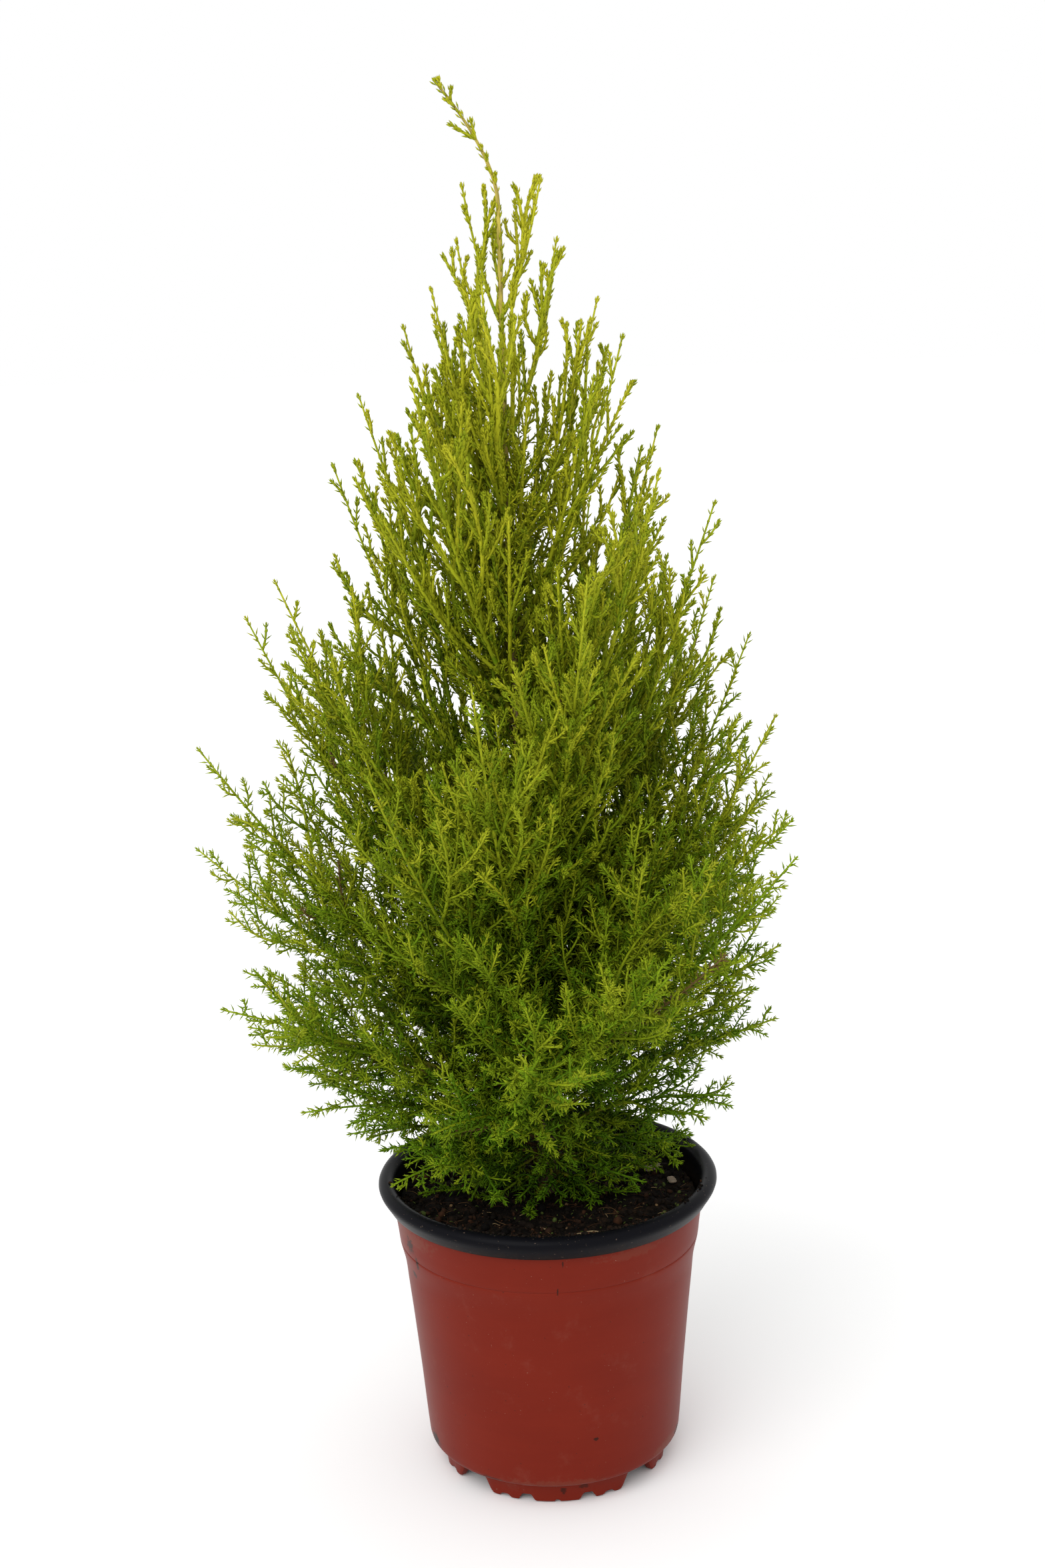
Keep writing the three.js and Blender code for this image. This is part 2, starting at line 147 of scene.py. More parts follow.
def branch_tips():
    """Reach, height and direction of every branch's tip, from the lowest up."""
    tips = []
    for number, (reach, height) in enumerate(SIDE_TIPS):
        swing = SIDE_TURN + SIDE_TURN_CHANCE * scatter(number)
        turn = (math.pi if reach < 0 else 0) + (1 if number % 2 else -1) * swing
        tips.append((abs(reach) * SPREAD, height * CROWN_HEIGHT, turn))
    shares, reaches = zip(*OUTLINE)
    for number in range(OTHERS):
        height = OTHERS_LOWEST + (OTHERS_HIGHEST - OTHERS_LOWEST) * number / (OTHERS - 1)
        reach = np.interp(height, shares, reaches) * SPREAD
        reach *= OTHERS_REACH + OTHERS_REACH_CHANCE * scatter(number + 3)
        turn = math.radians((90 if number % 2 else -90) + OTHERS_FAN * (scatter(number) - 0.5))
        tips.append((reach, height * CROWN_HEIGHT, turn))
    return sorted(tips, key=lambda tip: tip[1])


def unit(vectors):
    """Vectors of length 1."""
    return vectors / np.maximum(np.linalg.norm(vectors, axis=-1, keepdims=True), 1e-12)


# Where foliage comes to rest, on the soil, on the lip and hanging down outside it: distances out from the
# lip's edge, and heights.
RESTING_REACHES = LIP_RADIUS + np.array([-12, -7, 0.5, 5]) * MM
RESTING_HEIGHTS = [SOIL_TOP + 1.2 * MM, LIP_TOP + 0.3 * MM, LIP_TOP + 0.3 * MM, LIP_TOP - 4 * MM]
STEM_CLEARANCE = 0.5 * MM


def resting_height(points):
    """Least height of foliage at each point."""
    reach = np.linalg.norm(points[:, :2] - AXIS[:2], axis=1)
    return np.interp(reach, RESTING_REACHES, RESTING_HEIGHTS)


class Stems:
    """Many curved stems at once, each an arc from a start over a middle to a tip."""

    def __init__(self, start, middle, tip, thick, thin, settled=True):
        self.settled = settled
        ends = (start, middle, tip)
        self.start, self.middle, self.tip = (np.asarray(end, float).reshape(-1, 3) for end in ends)
        self.thick = np.broadcast_to(np.asarray(thick, float), len(self.start)).copy()
        self.thin = np.broadcast_to(np.asarray(thin, float), len(self.start)).copy()
        chord = np.linalg.norm(self.tip - self.start, axis=1)
        lower = np.linalg.norm(self.middle - self.start, axis=1)
        upper = np.linalg.norm(self.tip - self.middle, axis=1)
        self.length = (2 * chord + (lower + upper)) / 3
        plane = np.cross(self.middle - self.start, self.tip - self.middle)
        flat = np.cross(self.tip - self.start, [0.31, 0.2, 0.93])
        straight = np.linalg.norm(plane, axis=1) < 1e-3 * chord**2
        plane[straight] = flat[straight]
        self.side = unit(plane)

    def at(self, owner, share):
        """Point, heading, side and up vectors at a share of each owner's length."""
        s = np.asarray(share)[:, None]
        a, b, c = self.start[owner], self.middle[owner], self.tip[owner]
        point = (1 - s) ** 2 * a + 2 * s * (1 - s) * b + s**2 * c
        if self.settled:
            point[:, 2] = np.maximum(point[:, 2], resting_height(point) + STEM_CLEARANCE)
        heading = unit((1 - s) * (b - a) + s * (c - b))
        side = self.side[owner]
        return point, heading, side, np.cross(heading, side)

    def radius(self, owner, share):
        """Radius at a share of each owner's length."""
        return self.thick[owner] + (self.thin[owner] - self.thick[owner]) * share


def branch_stem(tip):
    """The main stem of the branch that ends at a tip."""
    reach, height, turn = tip
    share = height / CROWN_HEIGHT
    climb = RISE * CROWN_HEIGHT * math.sin(math.pi * share**1.3)
    start_height = LIP_TOP + max(LOWEST_START, height - climb)
    outwards = np.array([math.cos(turn), math.sin(turn), 0])
    start = trunk_point(start_height)
    end = AXIS + outwards * reach + [leader_sway(share) * (1 - abs(math.cos(turn))), 0, LIP_TOP + height]
    arch = min(ARCH_MOST, max(ARCH_LEAST, ARCH_AT_LIP + ARCH_PER_HEIGHT * share))
    middle = (start + end) / 2 + [0, 0, 2 * arch * np.linalg.norm(end - start)]
    start = start + outwards * (trunk_radius(start_height) * STEM_SEAT)
    length = np.linalg.norm(end - start)
    thick = STEM_RADIUS * (STEM_LEAST + STEM_PER_METRE * length)
    return Stems([start], [middle], [end], thick, STEM_TIP_RADIUS)


# ---- Meshes ----


class Soup:
    """Small closed solids gathered into one mesh, each vertex with its place in the colour map."""

    def __init__(self):
        self.points, self.triangles, self.tones = [], [], []
        self.count = 0

    def add(self, points, triangles, tones):
        """Adds solids of one kind: points and tones by solid and vertex, and one solid's triangles."""
        solids, corners = points.shape[:2]
        offsets = self.count + corners * np.arange(solids)
        self.points.append(points.reshape(-1, 3))
        self.triangles.append((triangles[None] + offsets[:, None, None]).reshape(-1, 3))
        self.tones.append(tones.reshape(-1, 2))
        self.count += solids * corners

    def piece(self, name, material):
        """The finished mesh object, with its colour map."""
        triangles = np.concatenate(self.triangles)
        piece = mesh_piece(name, np.concatenate(self.points), triangles, [material])
        tones = np.concatenate(self.tones)[triangles.reshape(-1)]
        layer = piece.data.uv_layers.new(name=BAKE_MAP)
        layer.data.foreach_set("uv", tones.astype(np.float32).reshape(-1))
        return piece


def mesh_piece(name, points, faces, materials, slots=None):
    """A smooth-shaded mesh object from arrays of points and of triangles or quads."""
    mesh = bpy.data.meshes.new(name)
    sides = faces.shape[1]
    mesh.vertices.add(len(points))
    mesh.vertices.foreach_set("co", points.astype(np.float32).reshape(-1))
    mesh.loops.add(faces.size)
    mesh.loops.foreach_set("vertex_index", faces.astype(np.int32).reshape(-1))
    mesh.polygons.add(len(faces))
    mesh.polygons.foreach_set("loop_start", np.arange(0, faces.size, sides, dtype=np.int32))
    if slots is not None:
        mesh.polygons.foreach_set("material_index", slots.astype(np.int32))
    mesh.update(calc_edges=True)
    mesh.polygons.foreach_set("use_smooth", np.ones(len(faces), bool))
    for material in materials:
        mesh.materials.append(material)
    piece = bpy.data.objects.new(name, mesh)
    bpy.context.scene.collection.objects.link(piece)
    return piece


def tube_triangles(rings, sides):
    """Triangles of a closed tube whose first vertex is its foot and whose last is its tip."""
    triangles = []
    tip = 1 + rings * sides
    for side in range(sides):
        after = (side + 1) % sides
        triangles.append((0, 1 + after, 1 + side))
        triangles.append((tip, tip - sides + side, tip - sides + after))
        for ring in range(rings - 1):
            low = 1 + ring * sides
            high = low + sides
            triangles.append((low + side, low + after, high + after))
            triangles.append((low + side, high + after, high + side))
    return np.array(triangles)


def turned(angle, side, up):
    """Directions turned from a side vector towards an up vector."""
    return np.cos(angle)[:, None] * side + np.sin(angle)[:, None] * up


# The colour map: across it lie the dead, woody and leafy tones, along it they go from dark to light.
# Each solid covers a small cell, so that no triangle has an empty place in the map.
TUBE_CELL = 0.008
DEAD_TONE, DEAD_UNTIL, WOOD_TONE, WOOD_UNTIL = 0.015, 0.045, 0.085, 0.12
LEAF_TONES = (0.14, 0.97)


def lengthwise(tone, foot, tip):
    """A function giving places in the colour map that run along one tone from a stem's foot to its tip."""
    return lambda points, owner, share: np.stack(
        [np.full(len(share), tone), foot + (tip - foot) * share], axis=1)


def add_tubes(soup, stems, rings, sides, tones):
    """Tapered round stems. Tones gives the place in the colour map for points, owners and shares."""
    count = len(stems.start)
    owner = np.repeat(np.arange(count), rings)
    share = np.tile(np.linspace(0, 1, rings), count)
    point, _, side, up = stems.at(owner, share)
    angle = turns(sides)
    around = turned(angle, side[:, None], up[:, None])
    ring = point[:, None] + stems.radius(owner, share)[:, None, None] * around
    line = point.reshape(count, rings, 3)
    points = np.concatenate([line[:, :1], ring.reshape(count, rings * sides, 3), line[:, -1:]], axis=1)
    middle = tones(point, owner, share).reshape(count, rings, 1, 2)
    skin = (middle + TUBE_CELL * circle(angle)).reshape(count, rings * sides, 2)
    ends = middle[:, [0, -1], 0] + [[[0, -TUBE_CELL], [0, TUBE_CELL]]]
    cells = np.concatenate([ends[:, :1], skin, ends[:, 1:]], axis=1)
    soup.add(points, tube_triangles(rings, sides), cells)


# ---- Leaves and twigs ----

# A leaf's corners are its foot, its two edges, its ridge and its tip.
LEAF_CELL = np.array([(0, -0.03), (-0.006, 0), (0.006, 0), (0, 0.006), (0, 0.04)])
LEAF_TRIANGLES = np.array([(0, 2, 1), (0, 3, 2), (0, 1, 3), (4, 1, 2), (4, 2, 3), (4, 3, 1)])

# The shares of the crown's height from which and over which the starry young habit turns into the scaly
# grown one. Here a pair of values in one name is a trait in those two habits.
HABIT_FROM, HABIT_OVER = 0.28, 0.6

# Leaves: pairs' spacing, length, width and the length that has it, in mm, opening angle in degrees, and
# how far the foot runs down the stem as a share of the length.
PAIR_SPACING = (1.95, 3.2)
LEAF_LENGTH = (3.25, 2.1)
LEAF_WIDTH, LEAF_WIDTH_AT = (0.38, 0.56), 2.4
LEAF_OPENING = (82, 36)
LEAF_RUN_DOWN = (0.2, 0.6)

# A leaf's shape: how far up it is widest, how far its tip curls in, how hollow its edges and how high its
# ridge are for its width, and how deep its foot is sunk. Then its chances in size and in turn, the length
# of a shoot's end over which leaves are smaller, and the end that is left to the bud.
LEAF_BELLY, LEAF_CURL, LEAF_HOLLOW, LEAF_RIDGE, LEAF_SUNK = 0.3, 0.3, 0.3, 0.9, 0.25 * MM
LEAF_CHANCE, ROLL_CHANCE = 0.13, 0.2
TIP_TAPER, BARE_TIP = 3 * MM, 1.2 * MM

# How side growth follows its parent: its spacing in mm, then first and last place as shares of the parent,
# length as a share of what is left of the parent, length added, and the shortest and longest in mm.
Growth = namedtuple("Growth", "spacing first last ratio extra shortest longest")
LOW_FORKS = Growth((6.5, 6.5), 0.0, 0.25, 0.5, 14, 20, 80)
OUTER_FORKS = Growth((8, 8), 0.25, 0.74, 0.72, 13, 22, 92)
OFFSHOOTS = Growth((18, 18), 0.15, 0.6, 0.6, 8, 16, 48)
SHOOTS = Growth((7, 8.6), 0.1, 0.96, 0.32, 6, 6, 26)
TWIGS = Growth((9.5, 14), 0.2, 0.85, 0.3, 3.4, 3.2, 9)
TRUNK_SIDE_SHOOTS = Growth((6.5, 6.5), 0.15, 0.95, 0.32, 7, 6, 24)

# The least length in mm of a shoot that bears twigs, how wide side growth opens in degrees, its radii at
# foot and tip in mm, how much of a branch's stem is bare wood, and how many of its shoots are dead.
TWIGGED_LENGTH, DIVERGENCE, THICK, THIN = (17, 19), (56, 33), (0.44, 0.66), (0.36, 0.5)
BARE_STEM, WITHERED = (0.5, 0.15), (0.007, 0)

# How strongly growth rises, more so with height and less so near the pot, and from which share of the
# crown and how fast it is thinned out.
LIFT, LIFT_BY_HEIGHT, LIFT_LOST_LOW, LOW_UNTIL = 0.12, 0.85, 0.2, 0.25
THINNED_FROM, THINNING = 0.62, 6

# How far shoots stray, how unevenly they are spaced, how far they bend back to their parent's heading,
# and how much is left of one that starts downwards.
WAYWARD, JITTER, FOLLOW, UNDERNEATH = 0.32, 0.3, 0.45, 0.75

# The bud of a shoot: turns, opening angles, lengths and distances below the tip.
BUD_ROLLS = np.radians([0, 180, 90, 270, 45, 0])
BUD_SPREADS = np.radians([40, 40, 34, 34, 22, 3])
BUD_LENGTHS = np.array([1.9, 1.9, 1.8, 1.8, 1.6, 1.5])
BUD_BACKS = np.array([1.1, 1.1, 0.5, 0.5, 0.1, 0])
BUD_OPENING = (1.15, 0.85)

# Yellowness by height in the crown and by chance. Lightness: its limits, then where it starts and what
# height, chance, the crown's outside and a young tip add. What the outside adds is partly the younger
# foliage there and partly painted light, which leaves painted shade deep inside the crown. It adds less
# high up, and less near the pot as painted shade there.
YELLOW_BY_HEIGHT, YELLOW_BY_CHANCE = 0.66, 0.34
LIGHT_LEAST, LIGHT_MOST = 0.05, 0.95
LIGHT_START, LIGHT_BY_HEIGHT, LIGHT_BY_CHANCE = 0.08, 0.42, 0.12
OUTER_YOUTH_AND_PAINTED_LIGHT, OUTER_YOUTH_AND_PAINTED_LIGHT_LOST = 0.52, 0.34
LIGHT_YOUNG, YOUNG_LENGTH = (0.14, 0.0), 8 * MM
PAINTED_SHADE_LOW, PAINTED_SHADE_UNTIL = 0.7, 0.2

# Where bare wood starts and ends along its tone, and how far leaves differ from the stem that bears them.
WOOD_FOOT, WOOD_TIP = (0.1, 0.7), 0.85
LEAF_SHADE, LEAF_SHADE_CHANCE = (0, 0.05), 0.05


def crown_share(points):
    """Height of each point as a share of the crown."""
    return np.clip((points[:, 2] - LIP_TOP) / CROWN_HEIGHT, 0, 1)


def crown_depth(points):
    """0 on the trunk to 1 at the crown's usual outside, for each point."""
    shares, reaches = zip(*OUTLINE)
    outside = np.maximum(np.interp(crown_share(points), shares, reaches) * SPREAD, 12 * MM)
    out = points[:, :2] - trunk_point(points[:, 2])[:, :2]
    return np.clip(np.linalg.norm(out, axis=1) / outside, 0, 1.1)


class Foliage:
    """The green parts of one piece, which share a height in the crown and one stream of chance."""

    def __init__(self, height, rng):
        self.habit = float(smooth((height - HABIT_FROM) / HABIT_OVER))
        self.rng = rng
        self.soup = Soup()

    def between(self, low, high):
        """A trait's value at this height, from starry shoots low in the crown to scaly ones high up."""
        return low + (high - low) * self.habit

    def tint(self, stems, dead=0.0):
        """A function giving green places in the colour map, with a steady chance shade per stem."""
        chance = self.rng.random(len(stems.start))
        withered = self.rng.random(len(stems.start)) < dead

        def tones(points, owner, share):
            high = crown_share(points)
            yellow = YELLOW_BY_HEIGHT * high + YELLOW_BY_CHANCE * chance[owner]
            tone = LEAF_TONES[0] + (LEAF_TONES[1] - LEAF_TONES[0]) * yellow
            young = np.exp(-(1 - share) * stems.length[owner] / YOUNG_LENGTH)
            # Painted shade low near the pot, and painted light with the younger foliage on the crown's
            # outside.
            shade = PAINTED_SHADE_LOW + (1 - PAINTED_SHADE_LOW) * np.minimum(1, high / PAINTED_SHADE_UNTIL)
            outside = shade * (OUTER_YOUTH_AND_PAINTED_LIGHT - OUTER_YOUTH_AND_PAINTED_LIGHT_LOST * high) * crown_depth(points) ** 1.3
            light = LIGHT_START + LIGHT_BY_HEIGHT * high + outside
            light = light + self.between(*LIGHT_YOUNG) * young + LIGHT_BY_CHANCE * chance[owner]
            tone = np.where(withered[owner], DEAD_TONE, tone)
            return np.stack([tone, np.clip(light, LIGHT_LEAST, LIGHT_MOST)], axis=1)

        return tones

    def greening(self, stems, until):
        """Bark up to a share of each stem, then the green of its leaves."""
        wood, green = lengthwise(WOOD_TONE, self.between(*WOOD_FOOT), WOOD_TIP), self.tint(stems)
        return lambda points, owner, share: np.where(
            (share < until)[:, None], wood(points, owner, share / until), green(points, owner, share))

    def sprout(self, parents, growth, divergence, lift, radii, thinning=1):
        """Side shoots on every parent, each turned on from the one before by the golden angle."""
        rng = self.rng
        spacing = self.between(*growth.spacing) * MM * thinning
        owner, share, number = spaced(parents, spacing, growth.first, growth.last, rng)
        point, heading, side, up = parents.at(owner, share)
        begin = rng.uniform(0, 2 * np.pi, len(parents.start))[owner]
        roll = begin + number * 2 * np.pi * GOLDEN + rng.normal(0, 0.3, len(owner))
        out = turned(roll, side, up)
        length = growth.ratio * (1 - share) * parents.length[owner] + growth.extra * MM
        length = length * rng.uniform(0.72, 1.2, len(owner))
        length = np.clip(length, growth.shortest * MM, growth.longest * MM)
        length = np.where(out[:, 2] < -0.5, UNDERNEATH * length, length)[:, None]
        angle = divergence * rng.normal(1, 0.12, len(owner))
        away = unit(turned(angle, heading, out))
        rise = np.array([0, 0, lift])
        stray = WAYWARD * rng.normal(size=(len(owner), 3))
        middle = point + unit(away + 0.4 * rise + stray) * length / 2
        tip = middle + unit(away + FOLLOW * heading + rise - stray) * length / 2
        return Stems(point, middle, tip, *radii)

    def leaves(self, stems, tones, owner, share, roll, spread, length):
        """One awl-shaped leaf for each owner, share and roll, its foot running down the stem."""
        point, heading, side, up = stems.at(owner, share)
        out = turned(roll, side, up)
        across = np.cross(heading, out)
        skin = point + out * (stems.radius(owner, share) * 0.85)[:, None]
        lean = turned(spread, heading, out)
        back = np.cross(across, lean)
        reach = length[:, None]
        width = self.between(*LEAF_WIDTH) * MM * np.sqrt(reach / (LEAF_WIDTH_AT * MM))
        foot = skin - heading * self.between(*LEAF_RUN_DOWN) * reach - out * LEAF_SUNK
        belly = skin + lean * LEAF_BELLY * reach
        hollow = belly - back * width * LEAF_HOLLOW
        ridge = belly + back * width * LEAF_RIDGE
        tip = skin + unit(lean + LEAF_CURL * heading) * reach
        points = np.stack([foot, hollow + across * width, hollow - across * width, ridge, tip], axis=1)
        sunk = resting_height(points.reshape(-1, 3)).reshape(points.shape[:2]) - points[..., 2]
        points[..., 2] += np.maximum(0, sunk.max(axis=1))[:, None]
        place = tones(skin, owner, share)
        place -= self.between(*LEAF_SHADE)
        place[:, 1] += LEAF_SHADE_CHANCE * (self.rng.random(len(owner)) - 0.5)
        place = np.maximum(place, TUBE_CELL)
        self.soup.add(points, LEAF_TRIANGLES, place[:, None] + LEAF_CELL[None])

    def clothe(self, stems, tones, first=0.0, crowding=1.0):
        """Leaves in crosswise pairs along stems, and a tight rosette on each tip."""
        rng = self.rng
        last = 1 - BARE_TIP / np.maximum(stems.length, 2 * BARE_TIP)
        owner, share, number = spaced(stems, self.between(*PAIR_SPACING) * MM / crowding, first, last, rng)
        owner, share, number = (np.repeat(a, 2) for a in (owner, share, number))
        leaves = len(owner)
        opposite = np.tile([0, np.pi], leaves // 2)
        roll = number * np.pi / 2 + opposite + rng.normal(0, ROLL_CHANCE, leaves)
        grown = np.clip((1 - share) * stems.length[owner] / TIP_TAPER, 0, 1)
        opening = math.radians(self.between(*LEAF_OPENING))
        spread = opening * (0.75 + 0.25 * grown) * rng.normal(1, LEAF_CHANCE, leaves)
        length = self.between(*LEAF_LENGTH) * MM * (0.7 + 0.3 * grown) * rng.normal(1, LEAF_CHANCE, leaves)
        self.leaves(stems, tones, owner, share, roll, spread, np.maximum(length, 1 * MM))
        self.rosette(stems, tones)

    def rosette(self, stems, tones):
        """The bud on each tip: two tiers of short leaves round one upright."""
        rng = self.rng
        count = len(stems.start)
        owner = np.repeat(np.arange(count), len(BUD_ROLLS))
        roll = np.tile(BUD_ROLLS, count) + rng.normal(0, 0.15, len(owner))
        opening = np.tile(BUD_SPREADS, count) * self.between(*BUD_OPENING)
        spread = opening * rng.normal(1, 0.15, len(owner))
        length = np.tile(BUD_LENGTHS, count) * MM * rng.normal(1, 0.1, len(owner))
        share = 1 - np.tile(BUD_BACKS, count) * MM / stems.length[owner]
        self.leaves(stems, tones, owner, np.clip(share, 0, 1), roll, spread, length)


def spaced(stems, spacing, first, last, rng):
    """Owners, shares and running numbers of places spaced along every stem."""
    span = np.broadcast_to(last - first, len(stems.start))
    counts = np.maximum(1, np.round(stems.length * span / spacing)).astype(int)
    owner = np.repeat(np.arange(len(counts)), counts)
    number = np.arange(counts.sum()) - np.repeat(np.cumsum(counts) - counts, counts)
    place = (number + 0.5 + JITTER * (rng.random(len(owner)) - 0.5)) / counts[owner]
    return owner, first + span[owner] * place, number


STEM_PARTS = ("start", "middle", "tip", "thick", "thin")


def only(stems, keep):
    """The stems for which keep is true."""
    return Stems(*(getattr(stems, part)[keep] for part in STEM_PARTS))


def joined(*groups):
    """Several groups of stems as one."""
    return Stems(*(np.concatenate([getattr(group, part) for group in groups]) for part in STEM_PARTS))


def grow_branch(name, tip, number):
    """One branch with its forks, shoots, twigs and leaves, which stands for its plain solid."""
    height = tip[1] / CROWN_HEIGHT
    green = Foliage(height, np.random.default_rng(1000 + number))
    stem = branch_stem(tip)
    low = max(0.0, 1 - height / LOW_UNTIL)
    thinned = 1 + THINNING * max(0.0, height - THINNED_FROM)
    lift = LIFT + LIFT_BY_HEIGHT * height - LIFT_LOST_LOW * low
    divergence = math.radians(green.between(*DIVERGENCE))
    thick, thin = green.between(*THICK) * MM, green.between(*THIN) * MM
    fork_radii = (1.5 * thick, thin)
    low_lift = lift + 0.55 - 0.8 * low
    low_forks = green.sprout(stem, LOW_FORKS, 0.95 * divergence, low_lift, fork_radii, thinned)
    outer_forks = green.sprout(stem, OUTER_FORKS, 0.7 * divergence, lift + 0.25, fork_radii, thinned)
    forks = joined(low_forks, outer_forks)
    offshoots = green.sprout(forks, OFFSHOOTS, 0.75 * divergence, lift, (1.2 * thick, thin), thinned)
    limbs = joined(stem, forks, offshoots)
    shoots = green.sprout(limbs, SHOOTS, divergence, lift, (thick, thin), math.sqrt(thinned))
    long = only(shoots, shoots.length > green.between(*TWIGGED_LENGTH) * MM)
    twigs = green.sprout(long, TWIGS, divergence, 0.7 * lift, (0.9 * thick, 0.9 * thin))
    add_tubes(green.soup, stem, 22, 8, green.greening(stem, green.between(*BARE_STEM)))
    green.clothe(stem, green.tint(stem), first=0.25)
    withered = green.between(*WITHERED)
    for group, rings, sides in ((forks, 12, 6), (offshoots, 8, 5), (shoots, 6, 4), (twigs, 3, 4)):
        tones = green.tint(group, withered)
        add_tubes(green.soup, group, rings, sides, tones)
        green.clothe(group, tones, first=0.05)
    piece = green.soup.piece(f"{name}_shoots", foliage_material)
    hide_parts(name)
    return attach(piece, "root")


# Bands of small shoots that clothe the trunk: name, lowest and highest share of the crown, how many,
# the shortest and longest in mm at the foot of the band, and the seed of its chances.
TRUNK_SHOOTS = [("low", 0.0, 0.3, 116, (42, 76), 400), ("high", 0.28, 0.68, 110, (40, 72), 401)]

# Short shoots on the bent leader: height below its tip in mm, side, lean in degrees and length in mm.
LEADER_SHOOTS = [(3, 1, 25, 4), (7, 1, 40, 4.5), (9, -1, 30, 4), (21, -1, 62, 11), (21, 1, 18, 7),
                 (30, 1, 14, 3), (34, -1, 14, 3), (37, 1, 20, 3.5)]
LEADER_FROM, LEADER_JOINTS = 0.5, 19


def grow_trunk_shoots(name, lowest, highest, count, lengths, seed):
    """Small leafy shoots that clothe a band of the trunk, drooping onto the soil if they are low."""
    rng = np.random.default_rng(seed)
    green = Foliage(0.5 * (lowest + highest), rng)
    share = lowest + (highest - lowest) * np.linspace(0, 1, count) ** 1.3
    start = trunk_point(SOIL_TOP + 3 * MM + share * CROWN_HEIGHT)
    turn = np.arange(count) * 2 * np.pi * GOLDEN + rng.normal(0, 0.3, count)
    out = np.stack([np.cos(turn), np.sin(turn), np.zeros(count)], axis=1)
    forward = np.maximum(0, -out[:, 1])
    length = rng.uniform(*lengths, count) * MM * (1 - 0.6 * (share - lowest)) * (1 - 0.5 * forward)
    length = length[:, None]
    rise = np.stack([np.zeros(count), np.zeros(count), 0.15 + 1.8 * share], axis=1)
    stray = WAYWARD * rng.normal(size=(count, 3))
    climb = 1.2 * rise
    middle = start + unit(out + climb + stray) * length / 2
    droop = np.array([0, 0, -0.75]) * (1 - np.minimum(1, 5 * share))[:, None]
    tip = middle + unit(out + climb + droop - stray) * length / 2
    limbs = Stems(start, middle, tip, 0.7 * MM, 0.4 * MM)
    radii = (0.42 * MM, 0.36 * MM)
    shoots = green.sprout(limbs, TRUNK_SIDE_SHOOTS, 0.85, 0.1 + share.mean(), radii)
    add_tubes(green.soup, limbs, 10, 6, green.greening(limbs, 0.4))
    add_tubes(green.soup, shoots, 6, 4, green.tint(shoots))
    green.clothe(limbs, green.tint(limbs), first=0.15)
    green.clothe(shoots, green.tint(shoots), first=0.05)
    piece = green.soup.piece(f"trunk_shoots_{name}", foliage_material)
    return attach(piece, "root")


def grow_leader():
    """Spurs and a few short shoots on the upper trunk, which bends over at its tip."""
    green = Foliage(0.97, np.random.default_rng(77))
    heights = np.linspace(LIP_TOP + LEADER_FROM * CROWN_HEIGHT, trunk_high.z, LEADER_JOINTS)
    joints = trunk_point(heights)
    halfway = trunk_point((heights[:-1] + heights[1:]) / 2)
    middle = 2 * halfway - (joints[:-1] + joints[1:]) / 2
    thick, thin = trunk_radius(heights[:-1]), trunk_radius(heights[1:])
    arcs = Stems(joints[:-1], middle, joints[1:], thick, thin)
    green.clothe(arcs, green.tint(arcs), crowding=0.5)
    tip = only(arcs, np.arange(len(arcs.start)) == len(arcs.start) - 1)
    green.clothe(tip, green.tint(tip), crowding=1.6)
    starts, bends, ends = [], [], []
    for below, turn, lean, length in LEADER_SHOOTS:
        start = trunk_point(trunk_high.z - below * MM)
        heading = unit(trunk_point(trunk_high.z - (below - 1) * MM) - start)
        out = unit(np.array([turn, -0.4, 0.15]))
        lean = math.radians(lean)
        away = unit(math.cos(lean) * heading + math.sin(lean) * out)
        starts.append(start)
        bends.append(start + away * length * MM / 2)
        ends.append(bends[-1] + unit(away + 0.25 * heading) * length * MM / 2)
    shoots = Stems(starts, bends, ends, 0.65 * MM, 0.5 * MM)
    tones = green.tint(shoots)
    add_tubes(green.soup, shoots, 6, 5, tones)
    green.clothe(shoots, tones, crowding=1.3)
    piece = green.soup.piece("leader_leaves", foliage_material)
    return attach(piece, "root")


# How much slimmer than the branches' own rule the trunk is at its tip, and its coarse and fine furrows.
TRUNK_SLIMMING, FURROWS, FINE_FURROWS, FURROW_LENGTH = 0.28, 0.09, 0.05, 9 * MM


def make_trunk():
    """The woody stem, with shallow furrows along it."""
    rings, sides = 260, 16
    heights = np.linspace(trunk_low.z, trunk_high.z, rings)
    angle = turns(sides)
    centre = trunk_point(heights)
    around = np.stack([np.cos(angle), np.sin(angle), np.zeros(sides)], axis=1)
    slim = 1 - TRUNK_SLIMMING * np.clip((heights - LIP_TOP) / CROWN_HEIGHT, 0, 1)
    radius = np.repeat((slim * trunk_radius(heights))[:, None], sides, axis=1)
    for ring in range(rings):
        for side in range(sides):
            place = Vector((*circle(angle[side], 3), heights[ring] / FURROW_LENGTH))
            rough = FURROWS * noise.noise(place) + FINE_FURROWS * noise.noise(place * 2.7)
            radius[ring, side] *= 1 + rough
    points = centre[:, None] + radius[..., None] * around
    points = np.concatenate([centre[:1], points.reshape(-1, 3), centre[-1:]])
    piece = mesh_piece("trunk_stem", points, tube_triangles(rings, sides), [bark_material])
    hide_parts("trunk")
    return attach(piece, "root")


# ---- Materials ----


